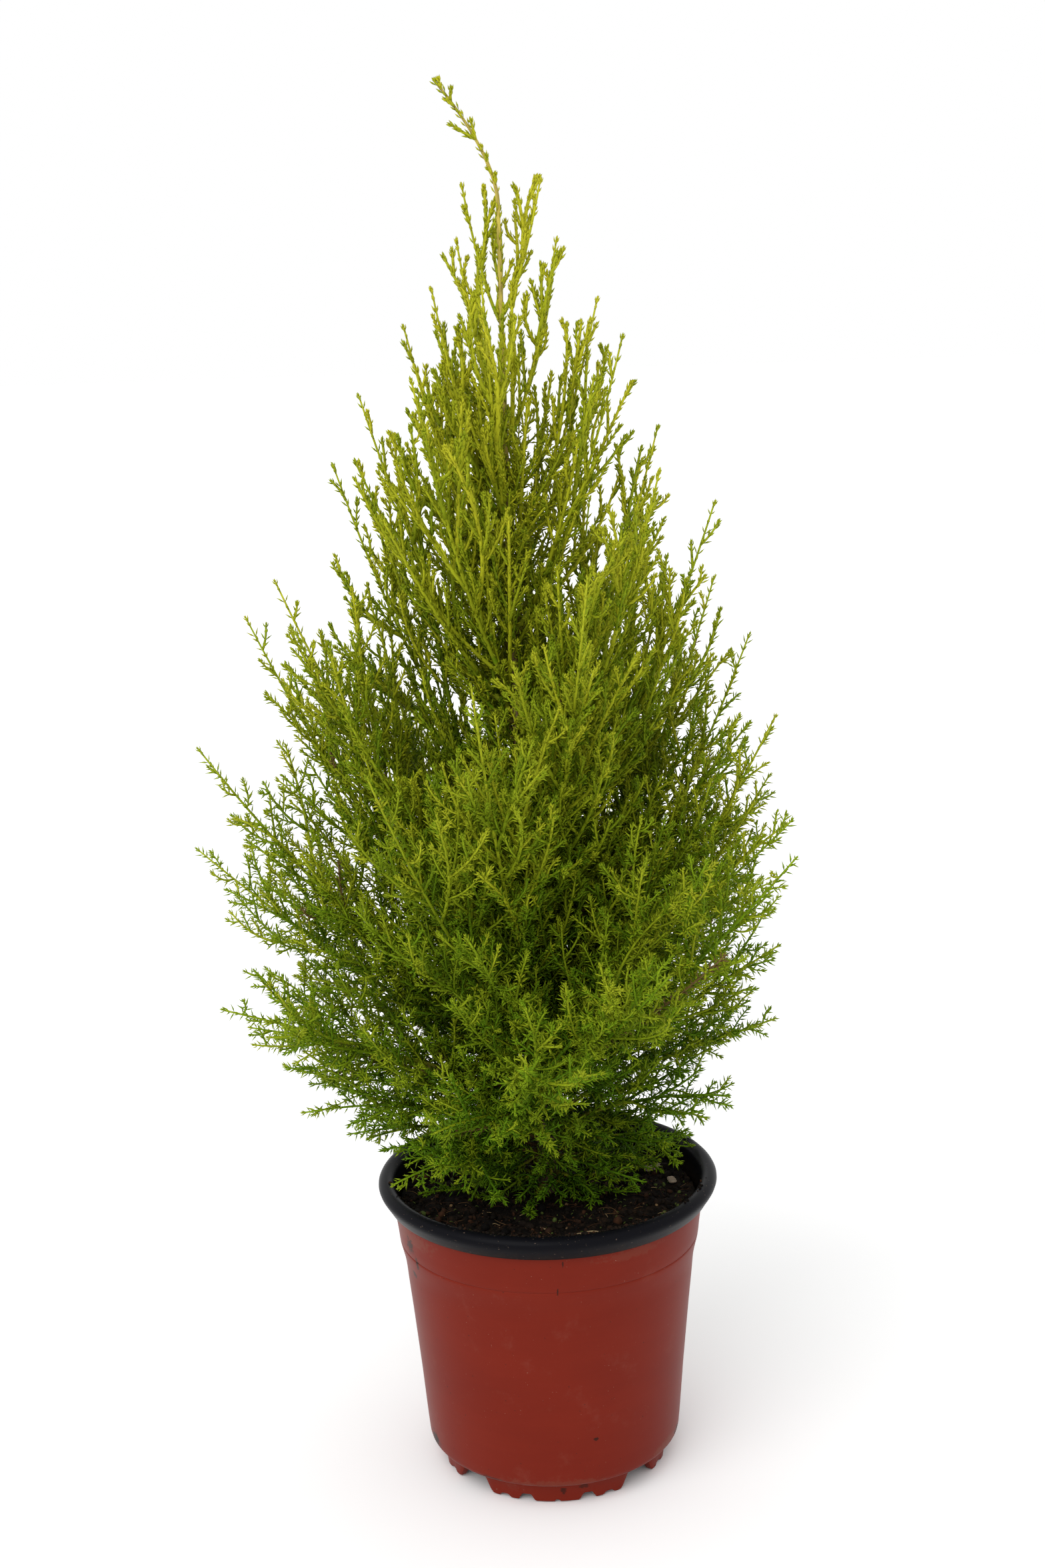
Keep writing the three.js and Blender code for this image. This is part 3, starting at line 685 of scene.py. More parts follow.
class Look:
    """A node material whose surface is one Principled shader, with short calls for its colours."""

    def __init__(self, name, roughness, **constants):
        self.material = bpy.data.materials.new(name)
        self.material.use_nodes = True
        self.nodes, self.links = self.material.node_tree.nodes, self.material.node_tree.links
        self.shader = self.nodes["Principled BSDF"]
        self.shader.inputs["Roughness"].default_value = roughness
        for socket, value in constants.items():
            self.shader.inputs[socket.replace("_", " ")].default_value = value

    def plug(self, value, socket):
        """Links another node's output to a socket, or sets the socket to a constant."""
        if isinstance(value, bpy.types.NodeSocket):
            self.links.new(value, socket)
        else:
            socket.default_value = value

    def math(self, operation, first, second):
        node = self.nodes.new("ShaderNodeMath")
        node.operation = operation
        self.plug(first, node.inputs[0])
        self.plug(second, node.inputs[1])
        return node.outputs[0]

    def place(self, scale=(1, 1, 1), shift=(0, 0, 0)):
        """Object coordinates, counted from a shifted origin and divided by a scale."""
        coordinates = self.nodes.new("ShaderNodeTexCoord").outputs["Object"]
        mapping = self.nodes.new("ShaderNodeMapping")
        mapping.vector_type = "TEXTURE"
        self.links.new(coordinates, mapping.inputs["Vector"])
        mapping.inputs["Location"].default_value = shift
        mapping.inputs["Scale"].default_value = scale
        return mapping.outputs[0]

    def height(self):
        """Height over the table."""
        parts = self.nodes.new("ShaderNodeSeparateXYZ")
        self.links.new(self.place(), parts.inputs[0])
        return parts.outputs[2]

    def tones(self):
        """The two coordinates of the colour map, and both together."""
        uv = self.nodes.new("ShaderNodeUVMap")
        uv.uv_map = BAKE_MAP
        parts = self.nodes.new("ShaderNodeSeparateXYZ")
        self.links.new(uv.outputs[0], parts.inputs[0])
        return parts.outputs[0], parts.outputs[1], uv.outputs[0]

    def noise(self, vector, scale, detail=3.0, roughness=0.55):
        node = self.nodes.new("ShaderNodeTexNoise")
        self.links.new(vector, node.inputs["Vector"])
        node.inputs["Scale"].default_value = scale
        node.inputs["Detail"].default_value = detail
        node.inputs["Roughness"].default_value = roughness
        return node.outputs["Fac"]

    def spread(self, value, low, high, to_low=0.0, to_high=1.0):
        """Maps a value's low to high range smoothly to another."""
        node = self.nodes.new("ShaderNodeMapRange")
        node.interpolation_type = "SMOOTHSTEP"
        for socket, number in zip(node.inputs, (value, low, high, to_low, to_high)):
            self.plug(number, socket)
        return node.outputs[0]

    def ramp(self, value, stops):
        node = self.nodes.new("ShaderNodeValToRGB")
        self.links.new(value, node.inputs[0])
        elements = node.color_ramp.elements
        while len(elements) < len(stops):
            elements.new(0.5)
        for element, (position, colour) in zip(elements, stops):
            element.position = position
            element.color = (*colour, 1)
        return node.outputs[0]

    def mix(self, amount, first, second, blend="MIX"):
        node = self.nodes.new("ShaderNodeMix")
        node.data_type = "RGBA"
        node.blend_type = blend
        self.plug(amount, node.inputs[0])
        for colour, socket in ((first, node.inputs[6]), (second, node.inputs[7])):
            self.plug(colour if isinstance(colour, bpy.types.NodeSocket) else (*colour, 1), socket)
        return node.outputs[2]

    def shade(self, colour, amount):
        """A colour multiplied by an amount."""
        return self.mix(1.0, colour, amount, "MULTIPLY")

    def colour(self, socket):
        """The finished material, coloured by a socket."""
        self.links.new(socket, self.shader.inputs["Base Color"])
        return self.material


def grey(level):
    """An even colour."""
    return (level, level, level)


def make_foliage():
    """Deep green inside the crown, partly painted shade, to yellow at young tips, on tan and brown twigs.
    """
    look = Look("foliage_live", 0.55, Specular_IOR_Level=0.06)
    across, along, both = look.tones()
    green = look.ramp(along, [
        (0.0, (0.022, 0.055, 0.0016)), (0.25, (0.043, 0.104, 0.0024)), (0.5, (0.087, 0.176, 0.0038)),
        (0.75, (0.178, 0.290, 0.007)), (1.0, (0.30, 0.40, 0.015)),
    ])
    yellow = look.ramp(along, [
        (0.0, (0.165, 0.195, 0.006)), (0.25, (0.305, 0.325, 0.010)), (0.5, (0.43, 0.43, 0.016)),
        (0.75, (0.47, 0.455, 0.024)), (1.0, (0.52, 0.49, 0.05)),
    ])
    leaf = look.mix(look.spread(across, 0.2, 0.9), green, yellow)
    twig = look.ramp(along, [
        (0.0, (0.050, 0.027, 0.014)), (0.3, (0.105, 0.060, 0.022)),
        (0.55, (0.15, 0.16, 0.011)), (0.9, (0.27, 0.32, 0.014)),
    ])
    dead = look.ramp(along, [(0.0, (0.055, 0.034, 0.012)), (1.0, (0.21, 0.14, 0.045))])
    woody = look.mix(look.math("GREATER_THAN", across, DEAD_UNTIL), dead, twig)
    base = look.mix(look.math("GREATER_THAN", across, WOOD_UNTIL), woody, leaf)
    flecks = look.spread(look.noise(both, 55, 2), 0.3, 0.7, 0.84, 1.14)
    return look.colour(look.shade(base, flecks))


def make_bark():
    """Brown bark at the foot, thinning to the tan rind of the young leader."""
    look = Look("cypress_bark", 0.7)
    fibres = look.noise(look.place((1, 1, 6)), 900, 4, 0.6)
    patches = look.noise(look.place((1, 1, 2)), 160)
    share = look.spread(look.height(), LIP_TOP, trunk_high.z)
    rind = look.ramp(share, [
        (0.0, (0.085, 0.05, 0.028)), (0.35, (0.13, 0.075, 0.036)),
        (0.65, (0.24, 0.165, 0.035)), (0.88, (0.42, 0.34, 0.045)),
    ])
    grain = look.spread(fibres, 0.3, 0.7, 0.62, 1.28)
    scuffed = look.mix(look.spread(patches, 0.5, 0.72, 0, 0.35), rind, (0.2, 0.12, 0.05))
    return look.colour(look.shade(scuffed, grain))


TERRACOTTA = (0.158, 0.0138, 0.0056)
POT_BLACK = (0.0036, 0.0036, 0.0052)

# How ragged a smudge is, and the distances between which it fades, in its own half sizes.
SMUDGE_RAGGED, SMUDGE_EDGE = 2.6, (1.75, 2.15)


def smudge(look, middle, size, ragged):
    """How strongly a ragged patch round a place on the pot shows, 0 outside to 1 inside."""
    shift = tuple(AXIS[axis] * (axis < 2) + middle[axis] for axis in range(3))
    inside = look.nodes.new("ShaderNodeVectorMath")
    inside.operation = "LENGTH"
    look.links.new(look.place(size, shift), inside.inputs[0])
    edge = look.math("ADD", inside.outputs["Value"], look.math("MULTIPLY", ragged, SMUDGE_RAGGED))
    return look.spread(edge, *SMUDGE_EDGE, 1, 0)


def on_wall(turn, height, radius):
    """A place on the pot's wall, its turn counted in degrees from the front to the right."""
    angle = math.radians(turn)
    return (radius * math.sin(angle), -radius * math.cos(angle), height)


# Paler, greyer patches and dark soil dirt on the terracotta: turn in degrees, height, radius of the wall,
# half sizes across and up in metres, and strength.
PALE_PATCHES = [(-62, 0.109, 0.0635, 0.022, 0.005, 0.35), (30, 0.111, 0.0637, 0.02, 0.003, 0.25),
          (0, 0.0105, 0.052, 0.03, 0.003, 0.3), (60, 0.012, 0.0525, 0.012, 0.004, 0.4)]
SOILED = [(-64, 0.1045, 0.0630, 0.0040, 0.0050, 0.8), (-60, 0.0975, 0.0622, 0.0016, 0.0050, 0.9),
          (-66, 0.0900, 0.0603, 0.0030, 0.0022, 0.8), (-70, 0.0120, 0.0525, 0.0070, 0.0055, 0.95),
          (-48, 0.0090, 0.0505, 0.0060, 0.0020, 0.8), (3, 0.0050, 0.0484, 0.0016, 0.0026, 0.7),
          (13, 0.0066, 0.0485, 0.0030, 0.0015, 0.6), (74, 0.0120, 0.0525, 0.0050, 0.0030, 0.7),
          (2, 0.0990, 0.0622, 0.0005, 0.0022, 0.9), (4, 0.1110, 0.0637, 0.0005, 0.0022, 0.8),
          (17, 0.0300, 0.0545, 0.0012, 0.0010, 0.8), (-30, 0.0102, 0.0515, 0.0070, 0.0014, 0.5)]


def make_terracotta():
    """Moulded terracotta-red plastic: paler greyer patches, soil smudges, grit and scuffs."""
    look = Look("pot_terracotta", 0.4, Specular_IOR_Level=0.08)
    ragged = look.noise(look.place(), 520, 6, 0.68)
    cloud = look.noise(look.place((1, 1, 0.6)), 24)
    flow = look.noise(look.place((1, 1, 0.06)), 30, 4)
    base = look.mix(look.spread(cloud, 0.3, 0.7), TERRACOTTA, (0.146, 0.0124, 0.0052))
    base = look.shade(base, look.spread(flow, 0.3, 0.7, 0.985, 1.015))
    # Paler, greyer patches near the rim and the foot first, then dark soil smudges.
    for patches, colour in ((PALE_PATCHES, (0.155, 0.052, 0.032)), (SOILED, (0.013, 0.008, 0.005))):
        for turn, height, radius, across, up, strength in patches:
            patch = smudge(look, on_wall(turn, height, radius), (across, across, up), ragged)
            base = look.mix(look.math("MULTIPLY", patch, strength), base, colour)
    dust = look.spread(look.noise(look.place(), 70, 6, 0.7), 0.55, 0.8, 0, 0.16)
    base = look.mix(dust, base, (0.25, 0.11, 0.08))
    grit = look.noise(look.place(), 1150, 2, 0.5)
    base = look.mix(look.spread(grit, 0.74, 0.79, 0, 0.6), base, (0.33, 0.2, 0.15))
    soil = look.noise(look.place(), 760, 2, 0.5)
    base = look.mix(look.spread(soil, 0.725, 0.77, 0, 0.8), base, (0.02, 0.011, 0.008))
    return look.colour(base)


def make_black():
    """The black inside and lip, with dried soil where the soil meets it."""
    look = Look("pot_black", 0.36, Specular_IOR_Level=0.05)
    ragged = look.noise(look.place(), 240, 5, 0.62)
    level = look.math("ADD", look.height(), look.math("MULTIPLY", ragged, 12 * MM))
    earth = look.spread(level, SOIL_TOP + 3 * MM, SOIL_TOP + 11 * MM, 0.85, 0)
    base = look.mix(earth, POT_BLACK, (0.012, 0.008, 0.006))
    specks = look.noise(look.place(), 900, 2, 0.5)
    base = look.mix(look.spread(specks, 0.69, 0.75, 0, 0.7), base, (0.11, 0.08, 0.06))
    return look.colour(base)


def make_peat():
    """Dark moist peat, blacker in scattered patches."""
    look = Look("peat", 0.9, Specular_IOR_Level=0.1)
    coarse = look.noise(look.place(), 260, 5, 0.65)
    fine = look.noise(look.place(), 1400, 3, 0.6)
    base = look.ramp(coarse, [
        (0.3, (0.0016, 0.0012, 0.001)), (0.5, (0.0055, 0.0036, 0.0024)), (0.66, (0.022, 0.012, 0.0065)),
    ])
    return look.colour(look.shade(base, look.spread(fine, 0.3, 0.7, 0.55, 1.5)))


def make_litter():
    """Crumbs and fibres: black peat, red-brown root hair, tan straw and fallen green scales."""
    look = Look("litter", 0.85, Specular_IOR_Level=0.1)
    across, _, both = look.tones()
    base = look.ramp(across, [
        (0.0, (0.0025, 0.002, 0.0017)), (0.3, (0.0105, 0.0065, 0.004)), (0.5, (0.055, 0.022, 0.010)),
        (0.66, (0.13, 0.07, 0.03)), (0.82, (0.24, 0.165, 0.08)), (0.9, (0.055, 0.075, 0.016)),
    ])
    shade = look.spread(look.noise(both, 70, 3), 0.3, 0.7, 0.7, 1.3)
    return look.colour(look.shade(base, shade))


def make_pale(name, base, streak, scale):
    """Pale split wood or straw with grain along its length."""
    look = Look(name, 0.75)
    _, _, both = look.tones()
    grain = look.noise(both, scale, 4, 0.6)
    return look.colour(look.mix(look.spread(grain, 0.35, 0.68), base, streak))


# ---- Pot ----

FOOT_HEIGHT = 8 * MM
BASE_SHEET = 1.2 * MM

# Columns round the pot, the gap up to which points are joined, and the degrees from which an edge is sharp.
COLUMNS, WELD_DISTANCE, CREASE = 720, 0.02 * MM, 42

# Drain holes: their radius, the radius of their circle, how many besides the middle one, and their sides.
DRAIN_RADIUS, DRAIN_CIRCLE, DRAINS, DRAIN_SIDES = 4 * MM, 28 * MM, 6, 40

# Scallops in the foot for each quarter turn: middle and width in degrees, and depth in mm. Their rounded
# shoulders rise over a least number of degrees and a share of the width.
NOTCHES = [(0, 2, 0.8), (15.2, 6.5, 2.8), (26.5, 5, 1.3), (45, 18, 7.2), (63.5, 5, 1.3), (74.8, 6.5, 2.8)]
SHOULDER, SHOULDER_PER_WIDTH = 0.6, 0.36

# The pot's section in mm, radius and height: up the outside in terracotta, then lip and inside in black.
FOOT = [
    (44.9, 8), (44.6, 4), (44.6, 0.4), (45, 0), (47.1, 0), (47.6, 0.4), (48.1, 4), (48.5, 7.2),
]
OUTSIDE = [
    (48.8, 8.3), (49.5, 8.9), (50.8, 9.1), (52, 9.6), (52.6, 10.4), (52.9, 11.6), (53.3, 15.6),
    (54.1, 25), (55.2, 38.7), (56.5, 52.7), (57.8, 66.5), (59.2, 80), (59.75, 86), (60.1, 89),
    (60.7, 92), (61.55, 95.5), (62, 97.4), (62.05, 97.8), (61.95, 98.1), (61.85, 98.3),
    (61.95, 98.55), (62.15, 98.8), (62.25, 99.1), (62.6, 102.5), (63.2, 107), (63.7, 111),
    (64, 114.2), (64.4, 114.5),
]
LIP_AND_INSIDE = [
    (65.4, 114.4), (66.2, 114.4), (66.7, 114.9), (67.6, 116.4), (68.9, 118.4), (69.6, 119.6),
    (70, 120.8), (69.95, 121.6), (69.5, 122.5), (68.7, 123.3), (67.7, 123.85), (66.7, 124),
    (65.6, 123.8), (64.6, 123.2), (63.8, 122.3), (63.3, 121), (63, 118), (62.6, 114), (62.2, 110),
    (61.4, 103), (60.9, 98.5), (60.3, 95.5), (59.4, 91), (58.6, 86), (58, 80), (56.6, 66.5),
    (55.3, 52.7), (54, 38.7), (52.9, 25), (52.1, 15.6), (51.6, 12), (50.9, 10.7), (49.8, 9.9),
    (48, 9.4), (44.9, 9.2),
]


def notch_height(degrees):
    """How far the foot's edge is raised at a turn round the pot."""
    turn = degrees % 90
    height = 0.0
    for middle, width, depth in NOTCHES:
        shoulder = SHOULDER + SHOULDER_PER_WIDTH * width
        inside = (width + shoulder) / 2 - min(abs(turn - middle), 90 - abs(turn - middle))
        height = max(height, depth * MM * smooth(inside / min(shoulder, width / 2)))
    return height


def ring_points(radius, height, angles):
    """A level ring of points, its angles counted from the front to the right."""
    level = np.full(len(angles), height)
    return np.stack([radius * np.sin(angles), -radius * np.cos(angles), level], axis=1)


def base_plate(angles):
    """The bottom with its drain holes: both faces and the walls of the holes, as triangles."""
    outer = ring_points(FOOT[0][0] * MM, 0, angles)
    loops = [outer]
    hole = ring_points(DRAIN_RADIUS, 0, turns(DRAIN_SIDES))
    loops += [hole + [*circle(middle, DRAIN_CIRCLE), 0] for middle in turns(DRAINS)]
    loops.append(hole)
    flat = np.concatenate(loops)
    face = np.array(geometry.tessellate_polygon([[Vector(p) for p in loop] for loop in loops]))
    a, b, c = (flat[face[:, corner]] for corner in range(3))
    downwards = np.cross(b - a, c - a)[:, 2] < 0
    face[downwards] = face[downwards][:, ::-1]
    walls = []
    first = len(outer)
    for _ in range(DRAINS + 1):
        here = first + np.arange(DRAIN_SIDES)
        after = first + (np.arange(DRAIN_SIDES) + 1) % DRAIN_SIDES
        above = len(flat)
        walls.append(np.stack([here, after, after + above], 1))
        walls.append(np.stack([here, after + above, here + above], 1))
        first += DRAIN_SIDES
    low, high = flat.copy(), flat.copy()
    low[:, 2] = FOOT_HEIGHT
    high[:, 2] = FOOT_HEIGHT + BASE_SHEET
    triangles = [face[:, ::-1], face + len(flat)] + [wall[:, ::-1] for wall in walls]
    return np.concatenate([low, high]), np.concatenate(triangles)


def make_pot():
    """The thin-walled pot, its foot scalloped and its bottom pierced."""
    angles = turns(COLUMNS)
    raised = np.array([notch_height(math.degrees(a)) for a in angles])
    rows = FOOT + OUTSIDE + LIP_AND_INSIDE
    points = []
    for number, (radius, height) in enumerate(rows):
        ring = ring_points(radius * MM, height * MM, angles)
        if number < len(FOOT):
            ring[:, 2] = raised + (1 - raised / FOOT_HEIGHT) * ring[:, 2]
        points.append(ring)
    column = np.arange(COLUMNS)
    after = (column + 1) % COLUMNS
    band = np.stack([column, after, after + COLUMNS, column + COLUMNS], 1)
    quads = np.concatenate([band + row * COLUMNS for row in range(len(rows) - 1)])
    wall = np.concatenate([quads[:, [0, 1, 2]], quads[:, [0, 2, 3]]])
    black = (quads[:, 0] // COLUMNS >= len(FOOT) + len(OUTSIDE) - 1).astype(int)
    points = np.concatenate(points)
    plate_points, plate = base_plate(angles)
    faces = np.concatenate([wall, plate + len(points)])
    slots = np.concatenate([black, black, np.ones(len(plate), int)])
    points = np.concatenate([points, plate_points]) + AXIS
    piece = mesh_piece("pot_shell", points, faces, [terracotta_material, black_material], slots)
    weld(piece, WELD_DISTANCE)
    sharpen(piece, CREASE)
    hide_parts("pot")
    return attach(piece, "root")


def weld(piece, distance):
    """Joins the points of separate parts that meet."""
    mesh = bmesh.new()
    mesh.from_mesh(piece.data)
    bmesh.ops.remove_doubles(mesh, verts=mesh.verts, dist=distance)
    bmesh.ops.recalc_face_normals(mesh, faces=mesh.faces)
    mesh.to_mesh(piece.data)
    mesh.free()


def sharpen(piece, degrees):
    """Keeps creases steeper than an angle crisp in the smooth shading."""
    chosen = {"selected_objects": [piece], "selected_editable_objects": [piece]}
    with bpy.context.temp_override(active_object=piece, object=piece, **chosen):
        bpy.ops.object.shade_smooth_by_angle(angle=math.radians(degrees))


# ---- Soil and what lies on it ----

SOIL_RISE = 3 * MM
SOIL_EDGE = SOIL_TOP - SOIL_RISE
SOIL_FLOOR = soil_low.z + 80 * MM

# The bank of peat against the front wall: its height, where it starts as a share of the soil's radius,
# over how much it rises, and the least of it that is left at the back.
BANK, BANK_FROM, BANK_OVER, BANK_LEAST = 6 * MM, 0.8, 0.17, 0.15

# The peat's roughness, from broad swells to grains: height of the noise, its scale and its own level.
ROUGHNESS = [(1.1 * MM, 55, 0), (0.9 * MM, 190, 0.3), (0.55 * MM, 480, 0.7), (0.3 * MM, 1100, 0.9)]

# The lip's inner slope in mm, radius and height, where spilled crumbs lie.
LIP_SLOPE = [(62.4, 114), (63.3, 121), (63.8, 122.3), (64.6, 123.2), (65.6, 123.8), (66.7, 124)]

# Places of what lies on the soil across the colour map.
PEAT_TONE, ROOT_TONE, TAN_TONE, STRAW_TONE, SCALE_TONE = 0.2, 0.5, 0.66, 0.82, 0.93


def soil_height(x, y):
    """Height of the peat at a place counted from the pot's axis."""
    reach = math.hypot(x, y)
    level = SOIL_EDGE + SOIL_RISE * (1 - reach / LIP_RADIUS)
    banked = float(smooth((reach / SOIL_RADIUS - BANK_FROM) / BANK_OVER))
    level += BANK * banked * max(BANK_LEAST, -y / max(reach, MM))
    return level + sum(rise * noise.noise(Vector((x, y, z)) * waves) for rise, waves, z in ROUGHNESS)


def make_soil():
    """The peat as one closed body: its rough top, its side against the pot and a flat underside."""
    rings, columns = 110, 330
    around = turns(columns)
    points = [(0, 0, soil_height(0, 0))]
    for ring in range(1, rings + 1):
        places = circle(around, (SOIL_RADIUS - 1.2 * MM) * ring / rings)
        points += [(x, y, soil_height(x, y)) for x, y in places]
    points += [(x, y, SOIL_FLOOR) for x, y in circle(around, SOIL_RADIUS - 2.4 * MM)]
    points.append((0, 0, SOIL_FLOOR))
    triangles = tube_triangles(rings + 1, columns)[:, ::-1]
    piece = mesh_piece("soil_bed", np.array(points) + AXIS, triangles, [peat_material])
    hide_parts("soil")
    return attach(piece, "root")


def golden_ball():
    """Points and triangles of a twenty-sided ball."""
    g = (1 + 5**0.5) / 2
    points = unit(np.array([
        (-1, g, 0), (1, g, 0), (-1, -g, 0), (1, -g, 0), (0, -1, g), (0, 1, g),
        (0, -1, -g), (0, 1, -g), (g, 0, -1), (g, 0, 1), (-g, 0, -1), (-g, 0, 1),
    ]))
    triangles = np.array([
        (0, 11, 5), (0, 5, 1), (0, 1, 7), (0, 7, 10), (0, 10, 11), (1, 5, 9), (5, 11, 4), (11, 10, 2),
        (10, 7, 6), (7, 1, 8), (3, 9, 4), (3, 4, 2), (3, 2, 6), (3, 6, 8), (3, 8, 9), (4, 9, 5),
        (2, 4, 11), (6, 2, 10), (8, 6, 7), (9, 8, 1),
    ])
    return points, triangles


def on_soil(count, rng, reach=1.0):
    """Places spread evenly over the soil, as coordinates from the pot's axis."""
    radius = (SOIL_RADIUS - 2.2 * MM) * reach * np.sqrt(rng.random(count))
    return circle(2 * np.pi * rng.random(count), radius)


def add_crumbs(soup, places, heights, sizes, tones, rng):
    """Lumpy crumbs, each squashed and turned its own way."""
    ball, triangles = golden_ball()
    count = len(places)
    lumpy = ball[None] * rng.uniform(0.7, 1.15, (count, len(ball), 1))
    squash = rng.uniform(0.55, 1.2, (count, 1, 3))
    turn = rng.uniform(0, 2 * np.pi, count)
    x, y, z = np.moveaxis(lumpy * squash, 2, 0)
    cosine, sine = np.cos(turn)[:, None], np.sin(turn)[:, None]
    lumps = np.stack([x * cosine - y * sine, x * sine + y * cosine, z], axis=2)
    middle = np.concatenate([places, heights[:, None]], axis=1)[:, None] + AXIS
    points = lumps * (sizes / 2)[:, None, None] + middle
    uv = np.zeros((count, len(ball), 2))
    uv[..., 0] = tones[:, None] + 0.012 * ball[None, :, 0]
    uv[..., 1] = rng.random((count, 1)) * 0.9 + 0.05 + 0.012 * ball[None, :, 1]
    soup.add(points, triangles, uv)


# Crumbs on the peat: how many, the smallest and the largest in mm. One in twenty is a fallen scale and
# one in thirty-three is straw.
CRUMBS = [(1500, 0.6, 1.3), (800, 1.3, 2.6), (190, 2.5, 4.8)]
SPILLED = 420

# Fibres: how many, the longest and the radius in mm, and the tone.
FIBRES = [(150, 8, 0.11, ROOT_TONE), (34, 7, 0.13, TAN_TONE), (16, 5, 0.2, STRAW_TONE),
          (90, 1.8, 0.26, SCALE_TONE)]
FIBRE_RISES = (0.5, 1.2, 0.6)


def strew_crumbs(soup, rng):
    """Crumbs of peat all over the soil, with some scales and straw."""
    for count, smallest, largest in CRUMBS:
        places = on_soil(count, rng)
        sizes = rng.uniform(smallest, largest, count) * MM
        heights = np.array([soil_height(*place) for place in places]) + 0.15 * sizes
        tones = np.clip(PEAT_TONE + 0.15 * rng.normal(size=count), 0.03, 0.5)
        odd = rng.random(count)
        tones = np.where(odd < 0.05, SCALE_TONE, np.where(odd > 0.97, STRAW_TONE - 0.1, tones))
        add_crumbs(soup, places, heights, sizes, tones, rng)


def spill_crumbs(soup, rng):
    """Crumbs that lie on the front of the lip's inner slope."""
    turn = rng.normal(0.12, 0.5, SPILLED) - np.pi / 2
    reach = LIP_RADIUS - rng.uniform(3.4, 8.6, SPILLED) * MM
    sizes = rng.uniform(0.5, 1.4, SPILLED) ** 2 * MM
    radii, crests = (np.array(column) * MM for column in zip(*LIP_SLOPE))
    heights = np.interp(reach, radii, crests) + 0.2 * sizes
    add_crumbs(soup, circle(turn, reach), heights, sizes, rng.uniform(0.1, 0.42, SPILLED), rng)


def lay_fibres(soup, rng):
    """Root hairs, bits of straw and leaf scales that lie on the peat in low arcs."""
    for count, longest, radius, tone in FIBRES:
        start = on_soil(count, rng, 0.97)
        turn = rng.uniform(0, 2 * np.pi, count)
        length = longest * rng.uniform(0.4, 1, count) * MM
        end = start + circle(turn) * length[:, None]
        reach = np.linalg.norm(end, axis=1)
        end *= np.minimum(1, (SOIL_RADIUS - 3 * MM) / reach)[:, None]
        middle = (start + end) / 2 + rng.normal(0, 0.12, (count, 2)) * length[:, None]
        lifted = [
            np.column_stack([places, [soil_height(*place) + rise * MM for place in places]]) + AXIS
            for places, rise in zip((start, middle, end), FIBRE_RISES)
        ]
        hairs = Stems(*lifted, radius * MM, radius * MM * 0.6, settled=False)
        add_tubes(soup, hairs, 6, 4, lengthwise(tone, 0.2, 0.8))


def make_litter_piece():
    """The crumbs and fibres that lie on the peat and on the lip."""
    rng = np.random.default_rng(5)
    soup = Soup()
    strew_crumbs(soup, rng)
    spill_crumbs(soup, rng)
    lay_fibres(soup, rng)
    piece = soup.piece("soil_litter", litter_material)
    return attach(piece, "root")


# Chips and straws: length, width and thickness in mm, and twist in degrees. Each lies where its solid does.
CHIPS = [(9, 5, 1.6, 35), (6, 3.5, 1.2, 100)]
STRAWS = [(9, 0.9, 0.7, 10), (7, 0.8, 0.7, 75), (6, 0.8, 0.6, 140)]


def make_flake(name, flake, material, seed):
    """A split flake of wood or straw: rough along its grain, with ragged ends."""
    low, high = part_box(name)
    middle = (low + high) / 2
    *size, twist = flake
    length, width, thickness = (value * MM for value in size)
    rng = np.random.default_rng(seed)
    along, sides = 26, 14
    angle = turns(sides)
    ragged = 0.06 * length * rng.normal(size=sides) * (np.arange(sides) % 2)
    rows = []
    for step in range(along):
        share = step / (along - 1)
        full = (1 - abs(2 * share - 1) ** 5) ** 0.5 * 0.75 + 0.25
        bend = 0.12 * thickness * math.sin(7 * share + seed)
        end = (share - 0.5) * 2
        x = (share - 0.5) * (length + ragged * abs(end) ** 3)
        y = np.cos(angle) * width / 2 * full * (1 + 0.05 * rng.normal(size=sides)) + bend
        z = np.sign(np.sin(angle)) * np.abs(np.sin(angle)) ** 0.6 * thickness / 2 * full + 2 * bend
        rows.append(np.stack([np.broadcast_to(x, y.shape), y, z], axis=1))
    points = np.concatenate([rows[0].mean(0)[None]] + rows + [rows[-1].mean(0)[None]])
    turn = np.array(Matrix.Rotation(-math.radians(twist), 3, "Z"))
    soup = Soup()
    tones = np.stack([points[:, 1] / (2 * width) + 0.5, points[:, 0] / (1.2 * length) + 0.5], axis=1)
    soup.add((points @ turn)[None] + np.array(middle), tube_triangles(along, sides)[:, ::-1], tones[None])
    piece = soup.piece(f"{name}_flake", material)
    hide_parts(name)
    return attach(piece, "root")


# ---- The scene ----

# The light: strengths of the sky and the key, and the key's breadth in degrees and heading.
SKY, KEY, KEY_BREADTH, KEY_HEADING = 1.0, 1.3, 50, (0.45, 0.75, -0.8)

# The floor: half its width, and how far it lies under the pot.
FLOOR_HALF, FLOOR_DROP = 60.0, 0.3 * MM

# The camera: its lens in mm, its place from the pot's axis at the table, and its angles in degrees.
SENSOR_HEIGHT, FOCAL_LENGTH = 36, 45.92
EYE, PITCH, ROLL = (-0.0054, -0.778, 0.454), 77.9, -1.75


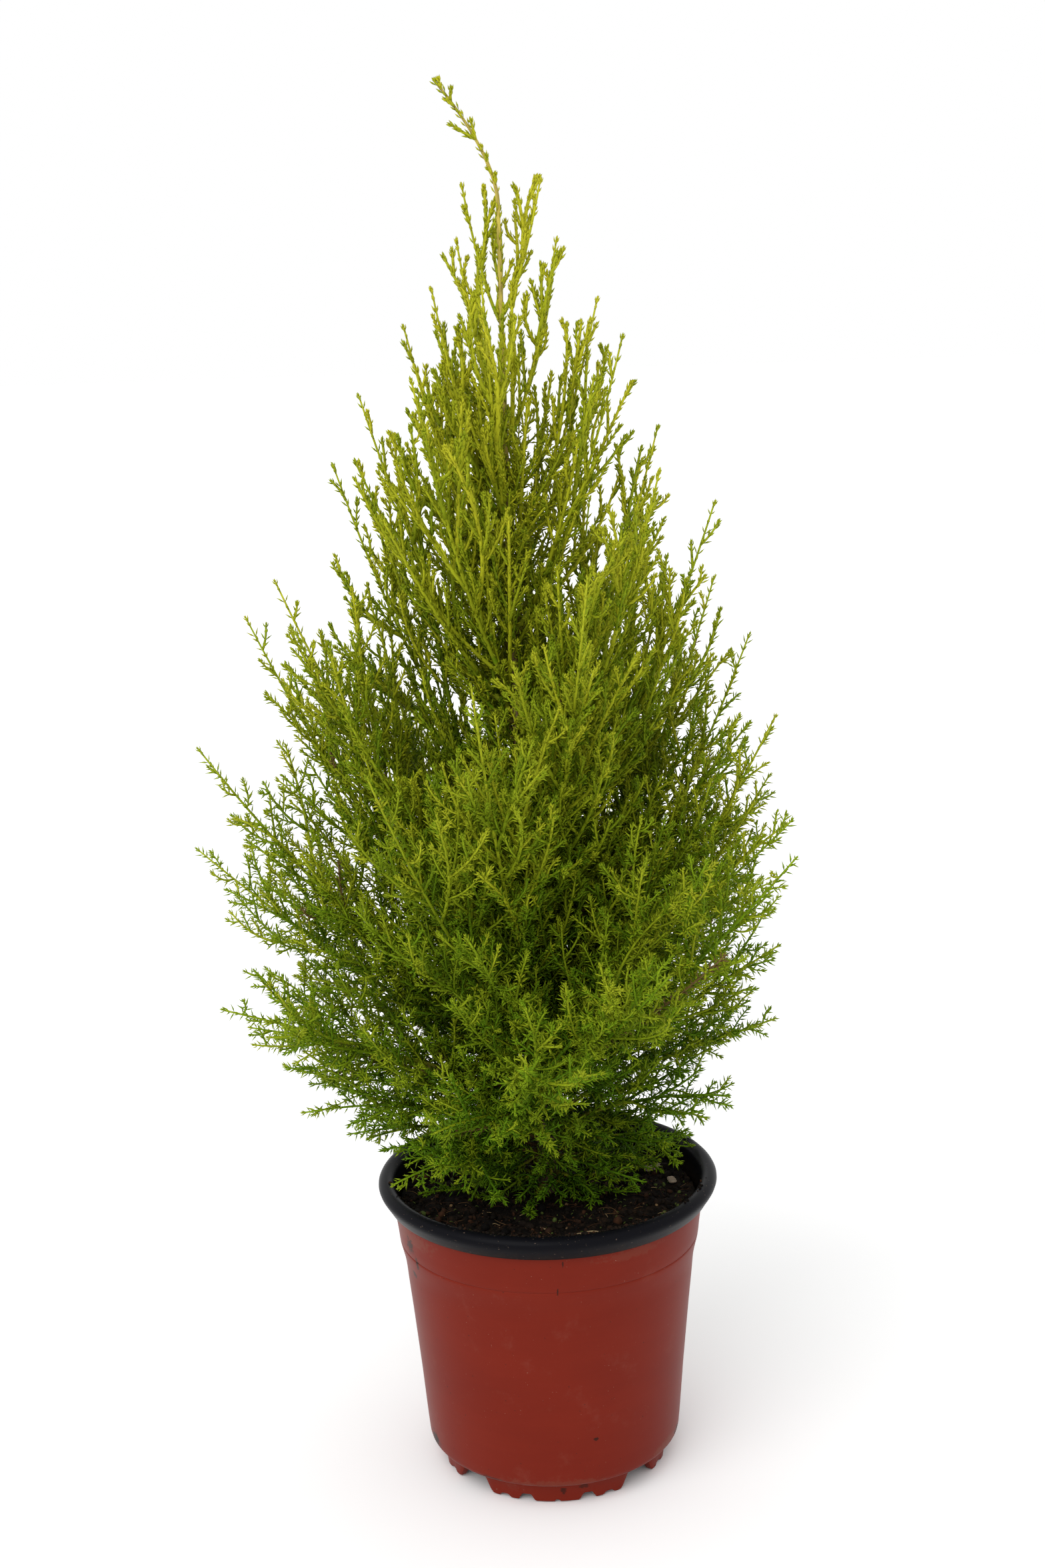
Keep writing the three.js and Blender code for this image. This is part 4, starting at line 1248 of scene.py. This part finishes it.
def make_stage():
    """A pale floor, an even white sky and one broad soft light from the upper left front."""
    corners = FLOOR_HALF * np.array([(-1, -1, 0), (1, -1, 0), (1, 1, 0), (-1, 1, 0)])
    look = Look("floor_pale", 0.9, Specular_IOR_Level=0.0)
    tint = look.noise(look.place(), 3, 2)
    material = look.colour(look.mix(tint, grey(0.93), grey(0.95)))
    floor = mesh_piece("floor", corners - [0, 0, FLOOR_DROP], np.array([(0, 1, 2, 3)]), [material])
    world = bpy.data.worlds.new("sky")
    world.use_nodes = True
    background = world.node_tree.nodes["Background"]
    background.inputs[0].default_value = (1, 1, 1, 1)
    background.inputs[1].default_value = SKY
    bpy.context.scene.world = world
    sun = bpy.data.lights.new("key", "SUN")
    sun.energy = KEY
    sun.angle = math.radians(KEY_BREADTH)
    key = bpy.data.objects.new("key", sun)
    key.rotation_euler = Vector(KEY_HEADING).to_track_quat("-Z", "Y").to_euler()
    bpy.context.scene.collection.objects.link(key)


def make_camera():
    """The front view: slightly from above, a hair off level."""
    lens = bpy.data.cameras.new("camera")
    lens.sensor_fit = "VERTICAL"
    lens.sensor_height = SENSOR_HEIGHT
    lens.lens = FOCAL_LENGTH
    camera = bpy.data.objects.new("camera", lens)
    camera.location = AXIS + EYE
    pitch = Euler((math.radians(PITCH), 0, 0)).to_matrix()
    camera.rotation_euler = (pitch @ Matrix.Rotation(math.radians(ROLL), 3, "Z")).to_euler()
    bpy.context.scene.collection.objects.link(camera)
    bpy.context.scene.camera = camera


foliage_material = make_foliage()
bark_material = make_bark()
terracotta_material = make_terracotta()
black_material = make_black()
peat_material = make_peat()
litter_material = make_litter()
chip_material = make_pale("chip_wood", (0.30, 0.235, 0.17), (0.15, 0.10, 0.065), 18)
straw_material = make_pale("straw_dry", (0.30, 0.22, 0.11), (0.16, 0.10, 0.05), 22)

make_pot()
make_soil()
make_litter_piece()
for number, flake in enumerate(CHIPS):
    make_flake(f"wood_chip_{number + 1}", flake, chip_material, number)
for number, flake in enumerate(STRAWS):
    make_flake(f"straw_{number + 1}", flake, straw_material, number + 10)
make_trunk()
for band in TRUNK_SHOOTS:
    grow_trunk_shoots(*band)
grow_leader()
for number, (name, tip) in enumerate(zip(BRANCHES, branch_tips())):
    grow_branch(name, tip, number)
make_stage()
make_camera()
bpy.context.scene.view_settings.view_transform = "Standard"
